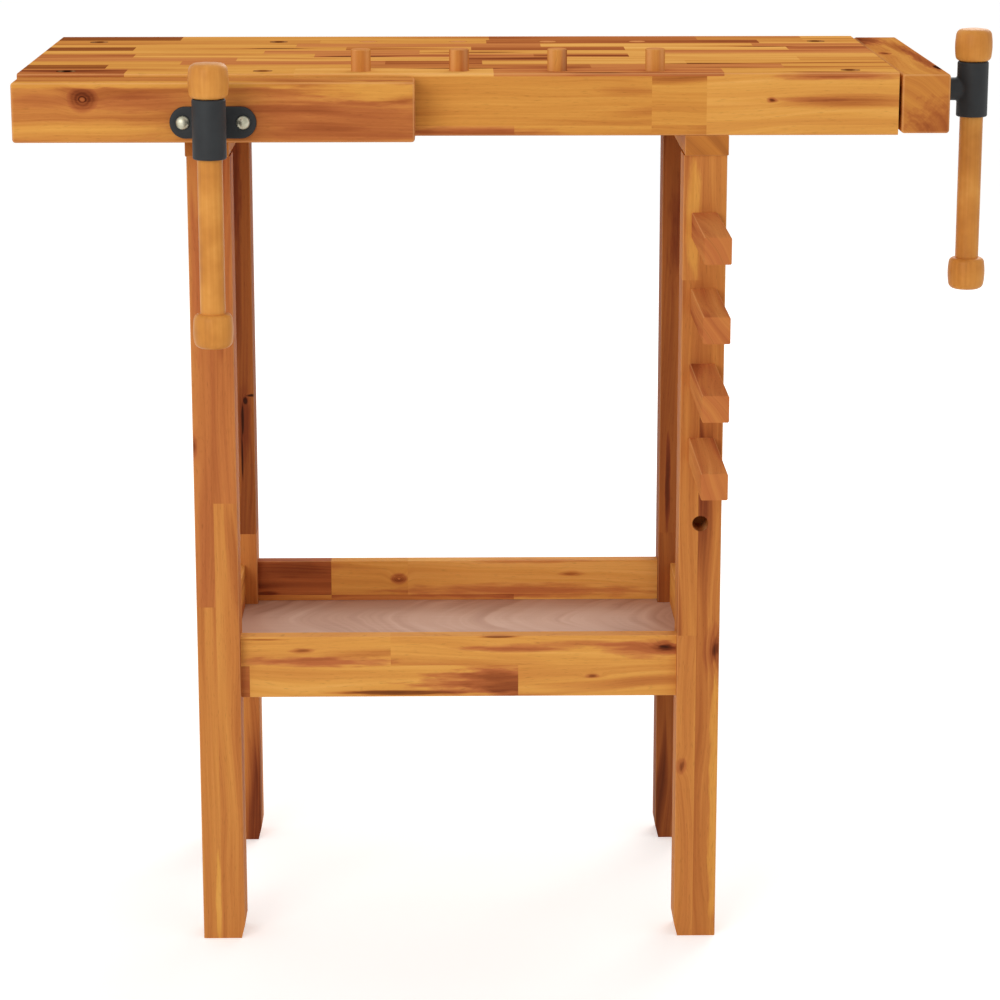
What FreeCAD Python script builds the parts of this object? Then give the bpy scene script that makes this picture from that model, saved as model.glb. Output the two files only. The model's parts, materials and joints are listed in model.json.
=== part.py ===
import FreeCAD, Part
import os

# Woodworking bench of acacia wood: a thick-edged top on four square legs, a tray shelf between the legs,
# a front vise, an end vise, round bench dogs in the top, and square support pegs in the front right leg.
# Millimetres, +Z up. The part is drawn with x from the left end of the top, y from the front face of the
# top (the worker stands at negative y) and z from the floor, and is moved to its origin when saved.

Vector = FreeCAD.Vector
X, Y, Z = Vector(1, 0, 0), Vector(0, 1, 0), Vector(0, 0, 1)

# ---------------------------------------------------------------- top
top_height = 833.0          # worktop above the floor
top_length = 800.0
top_depth = 365.0
top_thickness = 57.0        # at the edges, where the beams and aprons are
panel_thickness = 22.0      # of the glued panel between the beams
front_beam_depth = 46.0
apron_thickness = 36.0
top_edge_round = 2.5

# ---------------------------------------------------------------- dog holes and bench dogs
dog_hole_diameter = 18.0    # right through the beam
first_hole_offset = 138.0   # of the first dog hole, to the left of the front screw
dog_hole_pitch = 89.5
dog_hole_end_wood = 30.0    # least distance from the last hole to the right end of the top
dog_hole_leg_distance = 25.0  # no hole is bored nearer to a leg than this
first_dog = 2               # in both rows the dogs fill the holes from this one on
dog_count = 4               # in each row
dog_length = 75.0
dog_height = 20.0           # of it above the worktop in the front row; the rear row is pushed down flush
dog_round = 1.2

# ---------------------------------------------------------------- legs and bearers
leg_size = 40.0
leg_front_inset = 3.0       # front face of the legs behind the front face of the top
leg_rear_inset = 39.0       # rear face of the rear legs before the rear edge of the top
left_leg_offset = 29.0      # outer face of the left legs, to the left of the front screw
right_leg_inset = 155.0     # outer face of the right legs from the right end of the top
leg_round = 1.5
edge_round = 1.0            # of the bearers and rails
foot_chamfer_width = 3.5    # on the inner side of each foot
foot_chamfer_height = 14.0
bearer_thickness = 18.5
bearer_proud = 2.0          # past the legs at the front and the back
bearer_shift = 1.0          # towards the outer side of the legs

# ---------------------------------------------------------------- tray shelf
rail_thickness = 15.0
rail_height = 60.0
rail_bottom = 239.0
tray_panel_thickness = 5.0
tray_panel_rise = 13.0      # underside of the panel above the lower edge of the rails
groove_depth = 3.0
groove_clearance = 0.3

# ---------------------------------------------------------------- support pegs
peg_size = 24.0
peg_length = 150.0
peg_round = 1.5
peg_tenon_diameter = 14.9
peg_tenon_length = 30.0
peg_hole_diameter = 15.0
peg_hole_depth = 31.0
peg_hole_drop = 64.5        # of the highest hole, below the head of the leg
peg_hole_pitch = 70.5
peg_hole_count = 5
peg_count = 4               # in the upper holes

# ---------------------------------------------------------------- vises
jaw_gap = 3.0               # between a closed jaw and the bench
jaw_thickness = 44.0
jaw_height = 54.0
jaw_round = 3.0
front_jaw_length = 360.0
front_jaw_drop = 3.0        # top of the front jaw below the worktop
end_jaw_drop = 1.5
front_screw_drop = 38.5     # axis of the front screw below the worktop
panel_gap = 0.5             # between the nut of the end vise and the panel over it
front_rod_spacing = 200.0   # between the two guide rods
screw_diameter = 16.0
screw_bore_clearance = 0.75
jaw_travel = 109.5
screw_spare = 6.0           # screw left behind the nut with the jaw fully open
hub_reach = 49.5            # axis of the handle from the outer face of the jaw
hub_diameter = 30.0
hub_height = 53.0
hub_edge = 1.2
neck_diameter = 22.0
hub_web = 6.0               # iron between the end of the screw and the bore for the handle
flange_width = 77.5
flange_height = 28.5
flange_thickness = 3.5
flange_bolt_spacing = 54.0
flange_bolt_diameter = 6.0
flange_bolt_length = 28.0
flange_bolt_head = 12.3
flange_bolt_head_height = 4.0
collar_diameter = 30.0
collar_thickness = 8.0
collar_clearance = 0.5
rod_diameter = 12.0
rod_socket_depth = 32.0
rod_spare = 12.0            # guide rod left behind the bush with the jaw fully open
bar_end_chamfer = 1.5       # of the inner ends of the screws and guide rods
bush_wall = 2.0
bush_length = 20.0
bush_rim = 3.0
bush_rim_thickness = 2.0
nut_boss_diameter = 24.0
nut_length = 16.0
nut_plate_width = 58.0
nut_plate_thickness = 5.0
nut_screw_spacing = 42.0
nut_screw_diameter = 4.0
nut_screw_length = 22.0
nut_screw_head = 8.0
nut_screw_head_height = 2.6
pin_diameter = 4.0
screw_head_roundness = 0.6  # share of a screw head's height that its rounded rim takes

# ---------------------------------------------------------------- vise handles
handle_diameter = 22.5
handle_length = 254.0       # over both knobs
handle_bore_clearance = 0.4
knob_diameter = 36.0
knob_height = 31.5
knob_outer_round = 6.5
knob_inner_round = 5.0      # leaves a flat ring that stops against the hub
knob_socket_depth = 20.0

# ---------------------------------------------------------------- dowels, screws and bolts of the frame
dowel_diameter = 8.0
dowel_length = 40.0
rail_dowel_diameter = 6.0
leg_fixing_offset = 10.0    # of the dowels and screws in the head of a leg, from its middle
bearer_screw_diameter = 5.0
bearer_screw_head = 10.0
bearer_screw_gap = 3.0      # from the tip of these screws to the screws of the front nut above
wood_between_holes = 5.5    # least wood left between two holes that pass each other
frame_bolt_diameter = 5.0
frame_bolt_head = 10.0
frame_bolt_head_height = 6.0
barrel_nut_diameter = 8.0
barrel_nut_length = 14.0
barrel_nut_inset = 28.0     # from the end of the rail
rail_dowel_offset = 20.0    # of the front and rear rails, above and below the bolt
side_dowel_offset = 10.0    # of the side rails, above and below the middle

# ---------------------------------------------------------------- fits
running_clearance = 0.05    # radial, for a part that turns or slides in its hole
seat_gap = 0.3              # between a moving piece and the face it stops against
hole_clearance = 0.05       # radial, for dowels, screws and pins that stay put

# ---------------------------------------------------------------- places that follow from the sizes
beam_bottom = top_height - top_thickness
panel_bottom = top_height - panel_thickness
leg_height = beam_bottom - bearer_thickness
rear_leg_front = top_depth - leg_rear_inset - leg_size
front_row = leg_front_inset + leg_size / 2
rear_row = rear_leg_front + leg_size / 2
front_screw_x = front_jaw_length / 2
front_screw_z = top_height - front_screw_drop
end_screw_drop = panel_thickness + nut_boss_diameter / 2 + panel_gap
bush_radius = rod_diameter / 2 + bush_wall
end_rod_spacing = 2 * (rear_leg_front - dowel_length / 2 - bush_radius - wood_between_holes - top_depth / 2)
left_leg_x = front_screw_x - left_leg_offset
right_leg_x = top_length - right_leg_inset - leg_size
bearer_screw_length = front_screw_z - nut_screw_diameter / 2 - bearer_screw_gap - leg_height
neck_socket_depth = (hub_reach - flange_thickness - seat_gap - hub_web
                     - handle_diameter / 2 - handle_bore_clearance)
rail_middle = rail_bottom + rail_height / 2
tray_panel_bottom = rail_bottom + tray_panel_rise
rail_recess = (leg_size - rail_thickness) / 2
vise_reach = jaw_gap + jaw_thickness + hub_reach + knob_diameter / 2
peg_reach = peg_length - leg_front_inset
front_reach = max(vise_reach, peg_reach)
origin = Vector((top_length + vise_reach) / 2, (top_depth - front_reach) / 2, 0)

parts = {}


# ---------------------------------------------------------------- small helpers
def block(x_range, y_range, z_range):
    """A box between two corners."""
    low = Vector(x_range[0], y_range[0], z_range[0])
    return Part.makeBox(x_range[1] - x_range[0], y_range[1] - y_range[0], z_range[1] - z_range[0], low)


def rod(start, direction, diameter, length):
    """A round bar from a point along a direction."""
    return Part.makeCylinder(diameter / 2, length, start, direction)


def edges_along(shape, direction):
    """The straight edges of a shape that run along a direction."""
    return [
        edge for edge in shape.Edges
        if edge.Curve.TypeId == "Part::GeomLine"
        and edge.tangentAt(edge.FirstParameter).cross(direction).Length < 1e-6
    ]


def round_edges(shape):
    """The circles among a shape's edges."""
    return [edge for edge in shape.Edges if edge.Curve.TypeId == "Part::GeomCircle"]


def rounded(shape, radius, directions, chosen=None):
    """A shape with its edges along some directions rounded; chosen picks among them by their middle."""
    edges = [edge for direction in directions for edge in edges_along(shape, direction)]
    if chosen:
        edges = [edge for edge in edges if chosen(edge.CenterOfMass)]
    return shape.makeFillet(radius, edges)


def cut_all(shape, tools):
    """A shape less a list of other shapes."""
    return shape.cut(Part.makeCompound(tools))


def pan_screw(tip_direction, head_face, diameter, length, head, head_height, grow=0.0):
    """A screw whose round head sits on head_face; grow makes the hole that it fits instead."""
    shank = rod(head_face, tip_direction, diameter + 2 * grow, length + grow)
    cap = rod(head_face - tip_direction * head_height, tip_direction, head + 2 * grow, head_height)
    if not grow:
        rim = [edge for edge in round_edges(cap) if (edge.CenterOfMass - head_face).Length > head_height / 2]
        cap = cap.makeFillet(head_height * screw_head_roundness, rim)
    return shank.fuse(cap)


def countersunk_screw(tip_direction, head_face, diameter, length, head, grow=0.0):
    """A screw with a sunk conical head, flush with head_face; grow makes its hole."""
    cone_height = (head - diameter) / 2
    cone = Part.makeCone(head / 2 + grow, diameter / 2 + grow, cone_height, head_face, tip_direction)
    return cone.fuse(rod(head_face, tip_direction, diameter + 2 * grow, length + grow))


def save(name, shape):
    """Keeps one named piece, moved to the part's origin."""
    placed = shape.copy()
    placed.translate(-origin)
    parts[name] = placed


# ---------------------------------------------------------------- vises
class Vise:
    """A screw vise. It is drawn with x outwards from the bench face, y along the jaw and z up from the axis
    of the screw, and then turned and moved to its place on the bench."""

    def __init__(self, name, jaw_length, jaw_drop, screw_drop, wall, rod_spacing, place):
        self.name = name
        self.jaw_length = jaw_length
        self.jaw_top = screw_drop - jaw_drop
        self.wall = wall                    # thickness of the beam or apron that carries the nut
        self.rod_sides = (-rod_spacing / 2, rod_spacing / 2)
        self.place = place
        self.jaw_face = jaw_gap + jaw_thickness
        self.hub_x = self.jaw_face + hub_reach
        self.bolt_sides = (-flange_bolt_spacing / 2, flange_bolt_spacing / 2)
        self.nut_screw_sides = (-nut_screw_spacing / 2, nut_screw_spacing / 2)

    def placed(self, shape):
        moved = shape.copy()
        moved.Placement = self.place.multiply(moved.Placement)
        return moved

    def put(self, piece, shape):
        save(f"{self.name}_{piece}", self.placed(shape))

    def bench_holes(self):
        """What the vise needs cut from the beam or apron behind it, as one placed shape."""
        deep = self.wall + 2
        holes = [rod(Vector(1, 0, 0), -X, screw_diameter + 2 * screw_bore_clearance, deep)]
        for side in self.rod_sides:
            holes.append(rod(Vector(1, side, 0), -X, rod_diameter + 2 * screw_bore_clearance, deep))
            holes.append(rod(Vector(-self.wall - 1, side, 0), X, 2 * (bush_radius + hole_clearance),
                             bush_length + 1))
        for side in self.nut_screw_sides:
            head_face = Vector(-self.wall, side, 0)
            holes.append(rod(head_face, X, nut_screw_diameter + 2 * hole_clearance,
                             nut_screw_length - nut_plate_thickness + hole_clearance))
        return self.placed(Part.makeCompound(holes))

    def jaw(self):
        low = self.jaw_top - jaw_height
        half = self.jaw_length / 2
        wood = block((jaw_gap, self.jaw_face), (-half, half), (low, self.jaw_top))
        wood = rounded(wood, jaw_round, (X, Y, Z))
        cutters = [
            rod(Vector(jaw_gap - 1, 0, 0), X, screw_diameter + 2 * screw_bore_clearance, jaw_thickness + 2),
            rod(Vector(jaw_gap - 1, 0, 0), X, collar_diameter + 2 * collar_clearance,
                collar_thickness + seat_gap + 1),
        ]
        for side in self.rod_sides:
            cutters.append(rod(Vector(jaw_gap - 1, side, 0), X, rod_diameter + 2 * hole_clearance,
                               rod_socket_depth + 1))
        for side in self.bolt_sides:
            cutters.append(self.flange_bolt(side, hole_clearance))
        return cut_all(wood, cutters)

    def flange_bolt(self, side, grow=0.0):
        head_face = Vector(self.jaw_face + flange_thickness, side, 0)
        return pan_screw(-X, head_face, flange_bolt_diameter, flange_bolt_length, flange_bolt_head,
                         flange_bolt_head_height, grow)

    def flange(self):
        """A flat plate with round ends, bolted over the place where the screw leaves the jaw."""
        end_radius = flange_height / 2
        straight = flange_width / 2 - end_radius
        plate = block((self.jaw_face, self.jaw_face + flange_thickness), (-straight, straight),
                      (-end_radius, end_radius))
        for side in (-straight, straight):
            plate = plate.fuse(rod(Vector(self.jaw_face, side, 0), X, flange_height, flange_thickness))
        holes = [self.flange_bolt(side, hole_clearance) for side in self.bolt_sides]
        holes.append(rod(Vector(self.jaw_face - 1, 0, 0), X, screw_diameter + 2 * running_clearance,
                         flange_thickness + 2))
        return cut_all(plate.removeSplitter(), holes)

    def hub(self):
        """The cast T-head: an upright socket for the handle, on a neck that turns against the flange."""
        socket = rod(Vector(self.hub_x, 0, -hub_height / 2), Z, hub_diameter, hub_height)
        socket = socket.makeChamfer(hub_edge, round_edges(socket))
        neck_start = self.jaw_face + flange_thickness + seat_gap
        neck = rod(Vector(neck_start, 0, 0), X, neck_diameter, self.hub_x - neck_start)
        handle_bore = handle_diameter + 2 * handle_bore_clearance
        holes = [
            rod(Vector(self.hub_x, 0, -hub_height), Z, handle_bore, 2 * hub_height),
            rod(Vector(neck_start - 1, 0, 0), X, screw_diameter + 2 * hole_clearance, neck_socket_depth + 1),
            self.neck_pin(hole_clearance),
        ]
        return cut_all(socket.fuse(neck), holes)

    def neck_pin(self, grow=0.0):
        """The pin across the neck that ties the screw to the hub."""
        middle = self.jaw_face + flange_thickness + seat_gap + neck_socket_depth / 2
        length = neck_diameter - 1
        return rod(Vector(middle, 0, -length / 2 - grow), Z, pin_diameter + 2 * grow, length + 2 * grow)

    def collar_pin(self, grow=0.0):
        middle = jaw_gap + collar_thickness / 2
        length = collar_diameter - 1
        return rod(Vector(middle, 0, -length / 2 - grow), Z, pin_diameter + 2 * grow, length + 2 * grow)

    def collar(self):
        """The ring behind the jaw that pulls it open with the screw."""
        ring = rod(Vector(jaw_gap, 0, 0), X, collar_diameter, collar_thickness)
        return cut_all(ring, [rod(Vector(jaw_gap - 1, 0, 0), X, screw_diameter + 2 * hole_clearance,
                                  collar_thickness + 2), self.collar_pin(hole_clearance)])

    def screw(self):
        outer_end = self.jaw_face + flange_thickness + seat_gap + neck_socket_depth
        inner_end = -(self.wall + nut_length + jaw_travel + screw_spare)
        bar = rod(Vector(inner_end, 0, 0), X, screw_diameter, outer_end - inner_end)
        inner_rim = [edge for edge in round_edges(bar) if edge.CenterOfMass.x < 0]
        bar = bar.makeChamfer(bar_end_chamfer, inner_rim)
        return cut_all(bar, [self.neck_pin(hole_clearance), self.collar_pin(hole_clearance)])

    def guide_rod(self, side):
        outer_end = jaw_gap + rod_socket_depth
        inner_end = -(self.wall + bush_rim_thickness + jaw_travel + rod_spare)
        bar = rod(Vector(inner_end, side, 0), X, rod_diameter, outer_end - inner_end)
        inner_rim = [edge for edge in round_edges(bar) if edge.CenterOfMass.x < 0]
        return bar.makeChamfer(bar_end_chamfer, inner_rim)

    def guide_bush(self, side):
        """A bush in the back of the beam or apron, on which one guide rod slides."""
        outside = 2 * bush_radius
        back = -self.wall - bush_rim_thickness
        sleeve = rod(Vector(-self.wall, side, 0), X, outside, bush_length)
        rim = rod(Vector(back, side, 0), X, outside + 2 * bush_rim, bush_rim_thickness)
        bore = rod(Vector(back - 1, side, 0), X, rod_diameter + 2 * running_clearance,
                   bush_length + bush_rim_thickness + 2)
        return sleeve.fuse(rim).cut(bore)

    def nut_screw(self, side, grow=0.0):
        head_face = Vector(-self.wall - nut_plate_thickness, side, 0)
        return pan_screw(X, head_face, nut_screw_diameter, nut_screw_length, nut_screw_head,
                         nut_screw_head_height, grow)

    def nut_plate(self):
        half = nut_plate_width / 2
        reach = nut_boss_diameter / 2
        plate = block((-self.wall - nut_plate_thickness, -self.wall), (-half, half), (-reach, reach))
        plate = rounded(plate, reach / 2, (X,))
        boss = rod(Vector(-self.wall - nut_length, 0, 0), X, nut_boss_diameter, nut_length)
        holes = [self.nut_screw(side, hole_clearance) for side in self.nut_screw_sides]
        holes.append(rod(Vector(-self.wall - nut_length - 1, 0, 0), X, screw_diameter + 2 * running_clearance,
                         nut_length + 2))
        return cut_all(plate.fuse(boss), holes)

    def handle_places(self):
        """Heights of the ends of the handle, which hangs with its upper knob on the hub."""
        upper_end = hub_height / 2 + seat_gap + knob_height
        return upper_end - handle_length, upper_end

    def handle_bar(self):
        low, high = self.handle_places()
        cover = knob_height - knob_socket_depth
        return rod(Vector(self.hub_x, 0, low + cover), Z, handle_diameter, handle_length - 2 * cover)

    def knob(self, inner_z, outwards):
        """An end stop of the handle, from its inner face outwards, with a socket for the bar."""
        inner = Vector(self.hub_x, 0, inner_z)
        outer = inner + outwards * knob_height
        body = rod(inner, outwards, knob_diameter, knob_height)
        for end, radius in ((inner, knob_inner_round), (outer, knob_outer_round)):
            rim = [edge for edge in round_edges(body) if edge.CenterOfMass.distanceToPoint(end) < 1e-6]
            body = body.makeFillet(radius, rim)
        return body.cut(rod(inner - outwards, outwards, handle_diameter, knob_socket_depth + 1))

    def build(self):
        low, high = self.handle_places()
        self.put("jaw", self.jaw())
        self.put("flange", self.flange())
        self.put("flange_bolts", Part.makeCompound([self.flange_bolt(side) for side in self.bolt_sides]))
        self.put("hub", self.hub())
        self.put("screw", self.screw())
        self.put("screw_pins", Part.makeCompound([self.neck_pin(), self.collar_pin()]))
        self.put("thrust_collar", self.collar())
        self.put("guide_rods", Part.makeCompound([self.guide_rod(side) for side in self.rod_sides]))
        self.put("nut_plate", self.nut_plate())
        self.put("handle_bar", self.handle_bar())
        self.put("upper_knob", self.knob(high - knob_height, Z))
        self.put("lower_knob", self.knob(low + knob_height, -Z))


# The front vise faces the worker: its outward x is the bench's -y.
front_vise = Vise(
    "front", front_jaw_length, front_jaw_drop, front_screw_drop, front_beam_depth, front_rod_spacing,
    FreeCAD.Placement(Vector(front_screw_x, 0, front_screw_z), FreeCAD.Rotation(Z, -90)),
)
# The end vise is as long as the top is deep, and opens along the bench's +x.
end_vise = Vise(
    "end", top_depth, end_jaw_drop, end_screw_drop, apron_thickness, end_rod_spacing,
    FreeCAD.Placement(Vector(top_length, top_depth / 2, top_height - end_screw_drop), FreeCAD.Rotation()),
)


# ---------------------------------------------------------------- top
def dog_hole_places(obstacles):
    """The x of each dog hole in a row: equal steps, less those too near to a leg or to an obstacle, which is
    an x and a radius."""
    last = top_length - dog_hole_end_wood
    x = front_screw_x - first_hole_offset
    places = []
    while x < last:
        near_leg = any(leg_x - dog_hole_leg_distance < x < leg_x + leg_size + dog_hole_leg_distance
                       for leg_x in (left_leg_x, right_leg_x))
        near_obstacle = any(abs(x - place) < dog_hole_diameter / 2 + radius + wood_between_holes
                            for place, radius in obstacles)
        if not near_leg and not near_obstacle:
            places.append(x)
        x += dog_hole_pitch
    return places


front_vise_obstacles = [(front_screw_x, screw_diameter / 2 + screw_bore_clearance)]
front_vise_obstacles += [(front_screw_x + side, bush_radius) for side in front_vise.rod_sides]
front_vise_obstacles += [(front_screw_x + side, nut_screw_diameter / 2)
                         for side in front_vise.nut_screw_sides]
front_hole_places = dog_hole_places(front_vise_obstacles)
rear_hole_places = dog_hole_places([])


def dog_hole(x, y):
    """A hole right through a beam, so that a dog can be pushed up from below."""
    return rod(Vector(x, y, beam_bottom - 1), Z, dog_hole_diameter, top_thickness + 2)


def fixing_places(side_of_leg):
    """Plan positions of two fixings over each leg: +1 is the outer half of the leg, -1 the inner half."""
    places = []
    for leg_x, outwards in ((left_leg_x, -1), (right_leg_x, 1)):
        x = leg_x + leg_size / 2 + outwards * side_of_leg * leg_fixing_offset
        for row in (front_row, rear_row):
            places += [(x, row - leg_fixing_offset), (x, row + leg_fixing_offset)]
    return places


bearer_screw_places = fixing_places(1)
leg_dowel_places = fixing_places(-1)


def bearer_screw(x, y, grow=0.0):
    """A screw up through a bearer, under the head of a leg, into the beam above."""
    return countersunk_screw(Z, Vector(x, y, leg_height), bearer_screw_diameter, bearer_screw_length,
                             bearer_screw_head, grow)


def leg_dowel(x, y, grow=0.0):
    """A dowel from the head of a leg into the bearer on it."""
    length = dowel_length / 2 + bearer_thickness / 2
    start = Vector(x, y, leg_height - dowel_length / 2 - grow)
    return rod(start, Z, dowel_diameter + 2 * grow, length + 2 * grow)


def apron_dowel(x, joint_y, grow=0.0):
    start = Vector(x, joint_y - dowel_length / 2 - grow, (beam_bottom + panel_bottom) / 2)
    return rod(start, Y, dowel_diameter + 2 * grow, dowel_length + 2 * grow)


def apron_dowel_places():
    middles = (apron_thickness / 2, top_length - apron_thickness / 2)
    return [(x, y) for x in middles for y in (front_beam_depth, rear_leg_front)]


def build_top():
    screw_holes = [bearer_screw(x, y, hole_clearance) for x, y in bearer_screw_places]
    apron_dowel_holes = [apron_dowel(x, y, hole_clearance) for x, y in apron_dowel_places()]

    front = block((0, top_length), (0, front_beam_depth), (beam_bottom, top_height))
    front = rounded(front, top_edge_round, (X,), lambda middle: middle.y < front_row)
    holes = [dog_hole(x, front_row) for x in front_hole_places] + [front_vise.bench_holes()]
    save("front_dog_beam", cut_all(front, holes + screw_holes + apron_dowel_holes))

    rear = block((0, top_length), (rear_leg_front, top_depth), (beam_bottom, top_height))
    rear = rounded(rear, top_edge_round, (X,), lambda middle: middle.y > rear_row)
    holes = [dog_hole(x, rear_row) for x in rear_hole_places]
    save("rear_dog_beam", cut_all(rear, holes + screw_holes + apron_dowel_holes))

    save("top_panel", block((0, top_length), (front_beam_depth, rear_leg_front), (panel_bottom, top_height)))
    between = (front_beam_depth, rear_leg_front)
    left = block((0, apron_thickness), between, (beam_bottom, panel_bottom))
    save("left_end_apron", cut_all(left, apron_dowel_holes))
    right = block((top_length - apron_thickness, top_length), between, (beam_bottom, panel_bottom))
    save("right_end_apron", cut_all(right, apron_dowel_holes + [end_vise.bench_holes()]))
    save("apron_dowels", Part.makeCompound([apron_dowel(x, y) for x, y in apron_dowel_places()]))


# ---------------------------------------------------------------- tray
def rail_dowels(grow=0.0):
    """The dowels in the ends of the four tray rails: each runs from a rail's end into the leg."""
    found = []
    size, length = rail_dowel_diameter + 2 * grow, dowel_length + 2 * grow
    for x in (left_leg_x + leg_size, right_leg_x):
        for y in (front_row, rear_row):
            for side in (-rail_dowel_offset, rail_dowel_offset):
                start = Vector(x - dowel_length / 2 - grow, y, rail_middle + side)
                found.append(rod(start, X, size, length))
    for x in (left_leg_x + leg_size / 2, right_leg_x + leg_size / 2):
        for y in (leg_front_inset + leg_size, rear_leg_front):
            for side in (-side_dowel_offset, side_dowel_offset):
                start = Vector(x, y - dowel_length / 2 - grow, rail_middle + side)
                found.append(rod(start, Y, size, length))
    return found


def frame_bolt_ends():
    """Where the frame bolts start: the outer face of a leg, the way the bolt runs, and the rail's end."""
    for y in (front_row, rear_row):
        yield Vector(left_leg_x, y, rail_middle), X
        yield Vector(right_leg_x + leg_size, y, rail_middle), -X


def frame_bolt(face, direction, grow=0.0):
    """A bolt with its head sunk in the leg, through to the barrel nut in the rail."""
    head = rod(face, direction, frame_bolt_head + 2 * grow, frame_bolt_head_height)
    length = leg_size + barrel_nut_inset
    return head.fuse(rod(face, direction, frame_bolt_diameter + 2 * grow, length))


def barrel_nut(face, direction):
    middle = face + direction * (leg_size + barrel_nut_inset)
    return rod(middle - Z * barrel_nut_length / 2, Z, barrel_nut_diameter, barrel_nut_length)


def barrel_nut_hole(face, direction):
    """The hole that the nut goes in by, from the lower edge of the rail."""
    top_of_nut = rail_middle + barrel_nut_length / 2 + hole_clearance
    middle = face + direction * (leg_size + barrel_nut_inset)
    start = Vector(middle.x, middle.y, rail_bottom - 1)
    return rod(start, Z, barrel_nut_diameter + 2 * hole_clearance, top_of_nut - start.z)


def groove():
    """The slot for the panel in the inner faces of all four rails, as one block."""
    low = tray_panel_bottom
    high = low + tray_panel_thickness + groove_clearance
    return block(*tray_inside(groove_depth), (low, high))


def tray_inside(extra):
    """x and y ranges between the inner faces of the rails, widened by extra."""
    outer = rail_recess + rail_thickness - extra
    x_range = (left_leg_x + outer, right_leg_x + leg_size - outer)
    y_range = (leg_front_inset + outer, rear_leg_front + leg_size - outer)
    return x_range, y_range


def leg_block(x, y, grow=0.0):
    return block((x - grow, x + leg_size + grow), (y - grow, y + leg_size + grow), (0, leg_height))


def build_tray():
    bolts = list(frame_bolt_ends())
    dowel_holes = rail_dowels(hole_clearance)
    bolt_holes = [frame_bolt(face, way, hole_clearance) for face, way in bolts]
    nut_holes = [barrel_nut_hole(face, way) for face, way in bolts]
    z_range = (rail_bottom, rail_bottom + rail_height)
    between_legs = (left_leg_x + leg_size, right_leg_x)
    for name, y in (("tray_front_rail", leg_front_inset), ("tray_rear_rail", rear_leg_front)):
        rail = block(between_legs, (y + rail_recess, y + rail_recess + rail_thickness), z_range)
        rail = rounded(rail, edge_round, (X,))
        save(name, cut_all(rail, dowel_holes + bolt_holes + nut_holes + [groove()]))
    between_legs = (leg_front_inset + leg_size, rear_leg_front)
    for name, x in (("tray_left_rail", left_leg_x), ("tray_right_rail", right_leg_x)):
        rail = block((x + rail_recess, x + rail_recess + rail_thickness), between_legs, z_range)
        rail = rounded(rail, edge_round, (Y,))
        save(name, cut_all(rail, dowel_holes + [groove()]))

    panel = block(*tray_inside(groove_depth - groove_clearance),
                  (tray_panel_bottom, tray_panel_bottom + tray_panel_thickness))
    corners = [leg_block(x, y, groove_clearance) for x in (left_leg_x, right_leg_x)
               for y in (leg_front_inset, rear_leg_front)]
    save("tray_panel", cut_all(panel, corners))
    save("rail_dowels", Part.makeCompound(rail_dowels()))
    nuts = [barrel_nut(face, way) for face, way in bolts]
    save("barrel_nuts", Part.makeCompound([cut_all(nut, bolt_holes) for nut in nuts]))
    save("frame_bolts", Part.makeCompound([frame_bolt(face, way) for face, way in bolts]))


# ---------------------------------------------------------------- legs, bearers and pegs
def foot_chamfer(x, y, inner_side):
    """The wedge taken off the inner lower edge of a leg; inner_side is +1 where the inside is at higher x."""
    edge_x = x + leg_size if inner_side > 0 else x
    corner = Vector(edge_x + inner_side, y - 1, -1)
    points = [
        corner,
        Vector(edge_x + inner_side, y - 1, foot_chamfer_height),
        Vector(edge_x, y - 1, foot_chamfer_height),
        Vector(edge_x - inner_side * foot_chamfer_width, y - 1, 0),
        Vector(edge_x - inner_side * foot_chamfer_width, y - 1, -1),
    ]
    return Part.Face(Part.makePolygon(points + [corner])).extrude(Y * (leg_size + 2))


def peg_holes():
    middle = right_leg_x + leg_size / 2
    heights = [leg_height - peg_hole_drop - step * peg_hole_pitch for step in range(peg_hole_count)]
    return [Vector(middle, leg_front_inset, z) for z in heights]


def build_legs():
    shared = rail_dowels(hole_clearance)
    shared += [leg_dowel(x, y, hole_clearance) for x, y in leg_dowel_places]
    shared += [frame_bolt(face, way, hole_clearance) for face, way in frame_bolt_ends()]
    for side_name, x, inner_side in (("left", left_leg_x, 1), ("right", right_leg_x, -1)):
        for row_name, y in (("front", leg_front_inset), ("rear", rear_leg_front)):
            leg = rounded(leg_block(x, y), leg_round, (Z,))
            cutters = shared + [foot_chamfer(x, y, inner_side)]
            if side_name == "right" and row_name == "front":
                cutters += [rod(hole - Y, Y, peg_hole_diameter, peg_hole_depth + 1) for hole in peg_holes()]
            save(f"{row_name}_{side_name}_leg", cut_all(leg, cutters))

    y_range = (leg_front_inset - bearer_proud, rear_leg_front + leg_size + bearer_proud)
    for name, x in (("left_bearer", left_leg_x - bearer_shift), ("right_bearer", right_leg_x + bearer_shift)):
        bearer = rounded(block((x, x + leg_size), y_range, (leg_height, beam_bottom)), edge_round, (X, Y, Z))
        holes = [bearer_screw(sx, sy, hole_clearance) for sx, sy in bearer_screw_places]
        holes += [leg_dowel(dx, dy, hole_clearance) for dx, dy in leg_dowel_places]
        save(name, cut_all(bearer, holes))
    save("bearer_screws", Part.makeCompound([bearer_screw(x, y) for x, y in bearer_screw_places]))
    save("leg_dowels", Part.makeCompound([leg_dowel(x, y) for x, y in leg_dowel_places]))


def build_pegs():
    half = peg_size / 2
    for number, hole in enumerate(peg_holes()[:peg_count], start=1):
        bar = block((hole.x - half, hole.x + half), (hole.y - peg_length, hole.y),
                    (hole.z - half, hole.z + half))
        bar = rounded(bar, peg_round, (Y,))
        tenon = rod(hole - Y, Y, peg_tenon_diameter, peg_tenon_length + 1)
        save(f"support_peg_{number}", bar.fuse(tenon))


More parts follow.
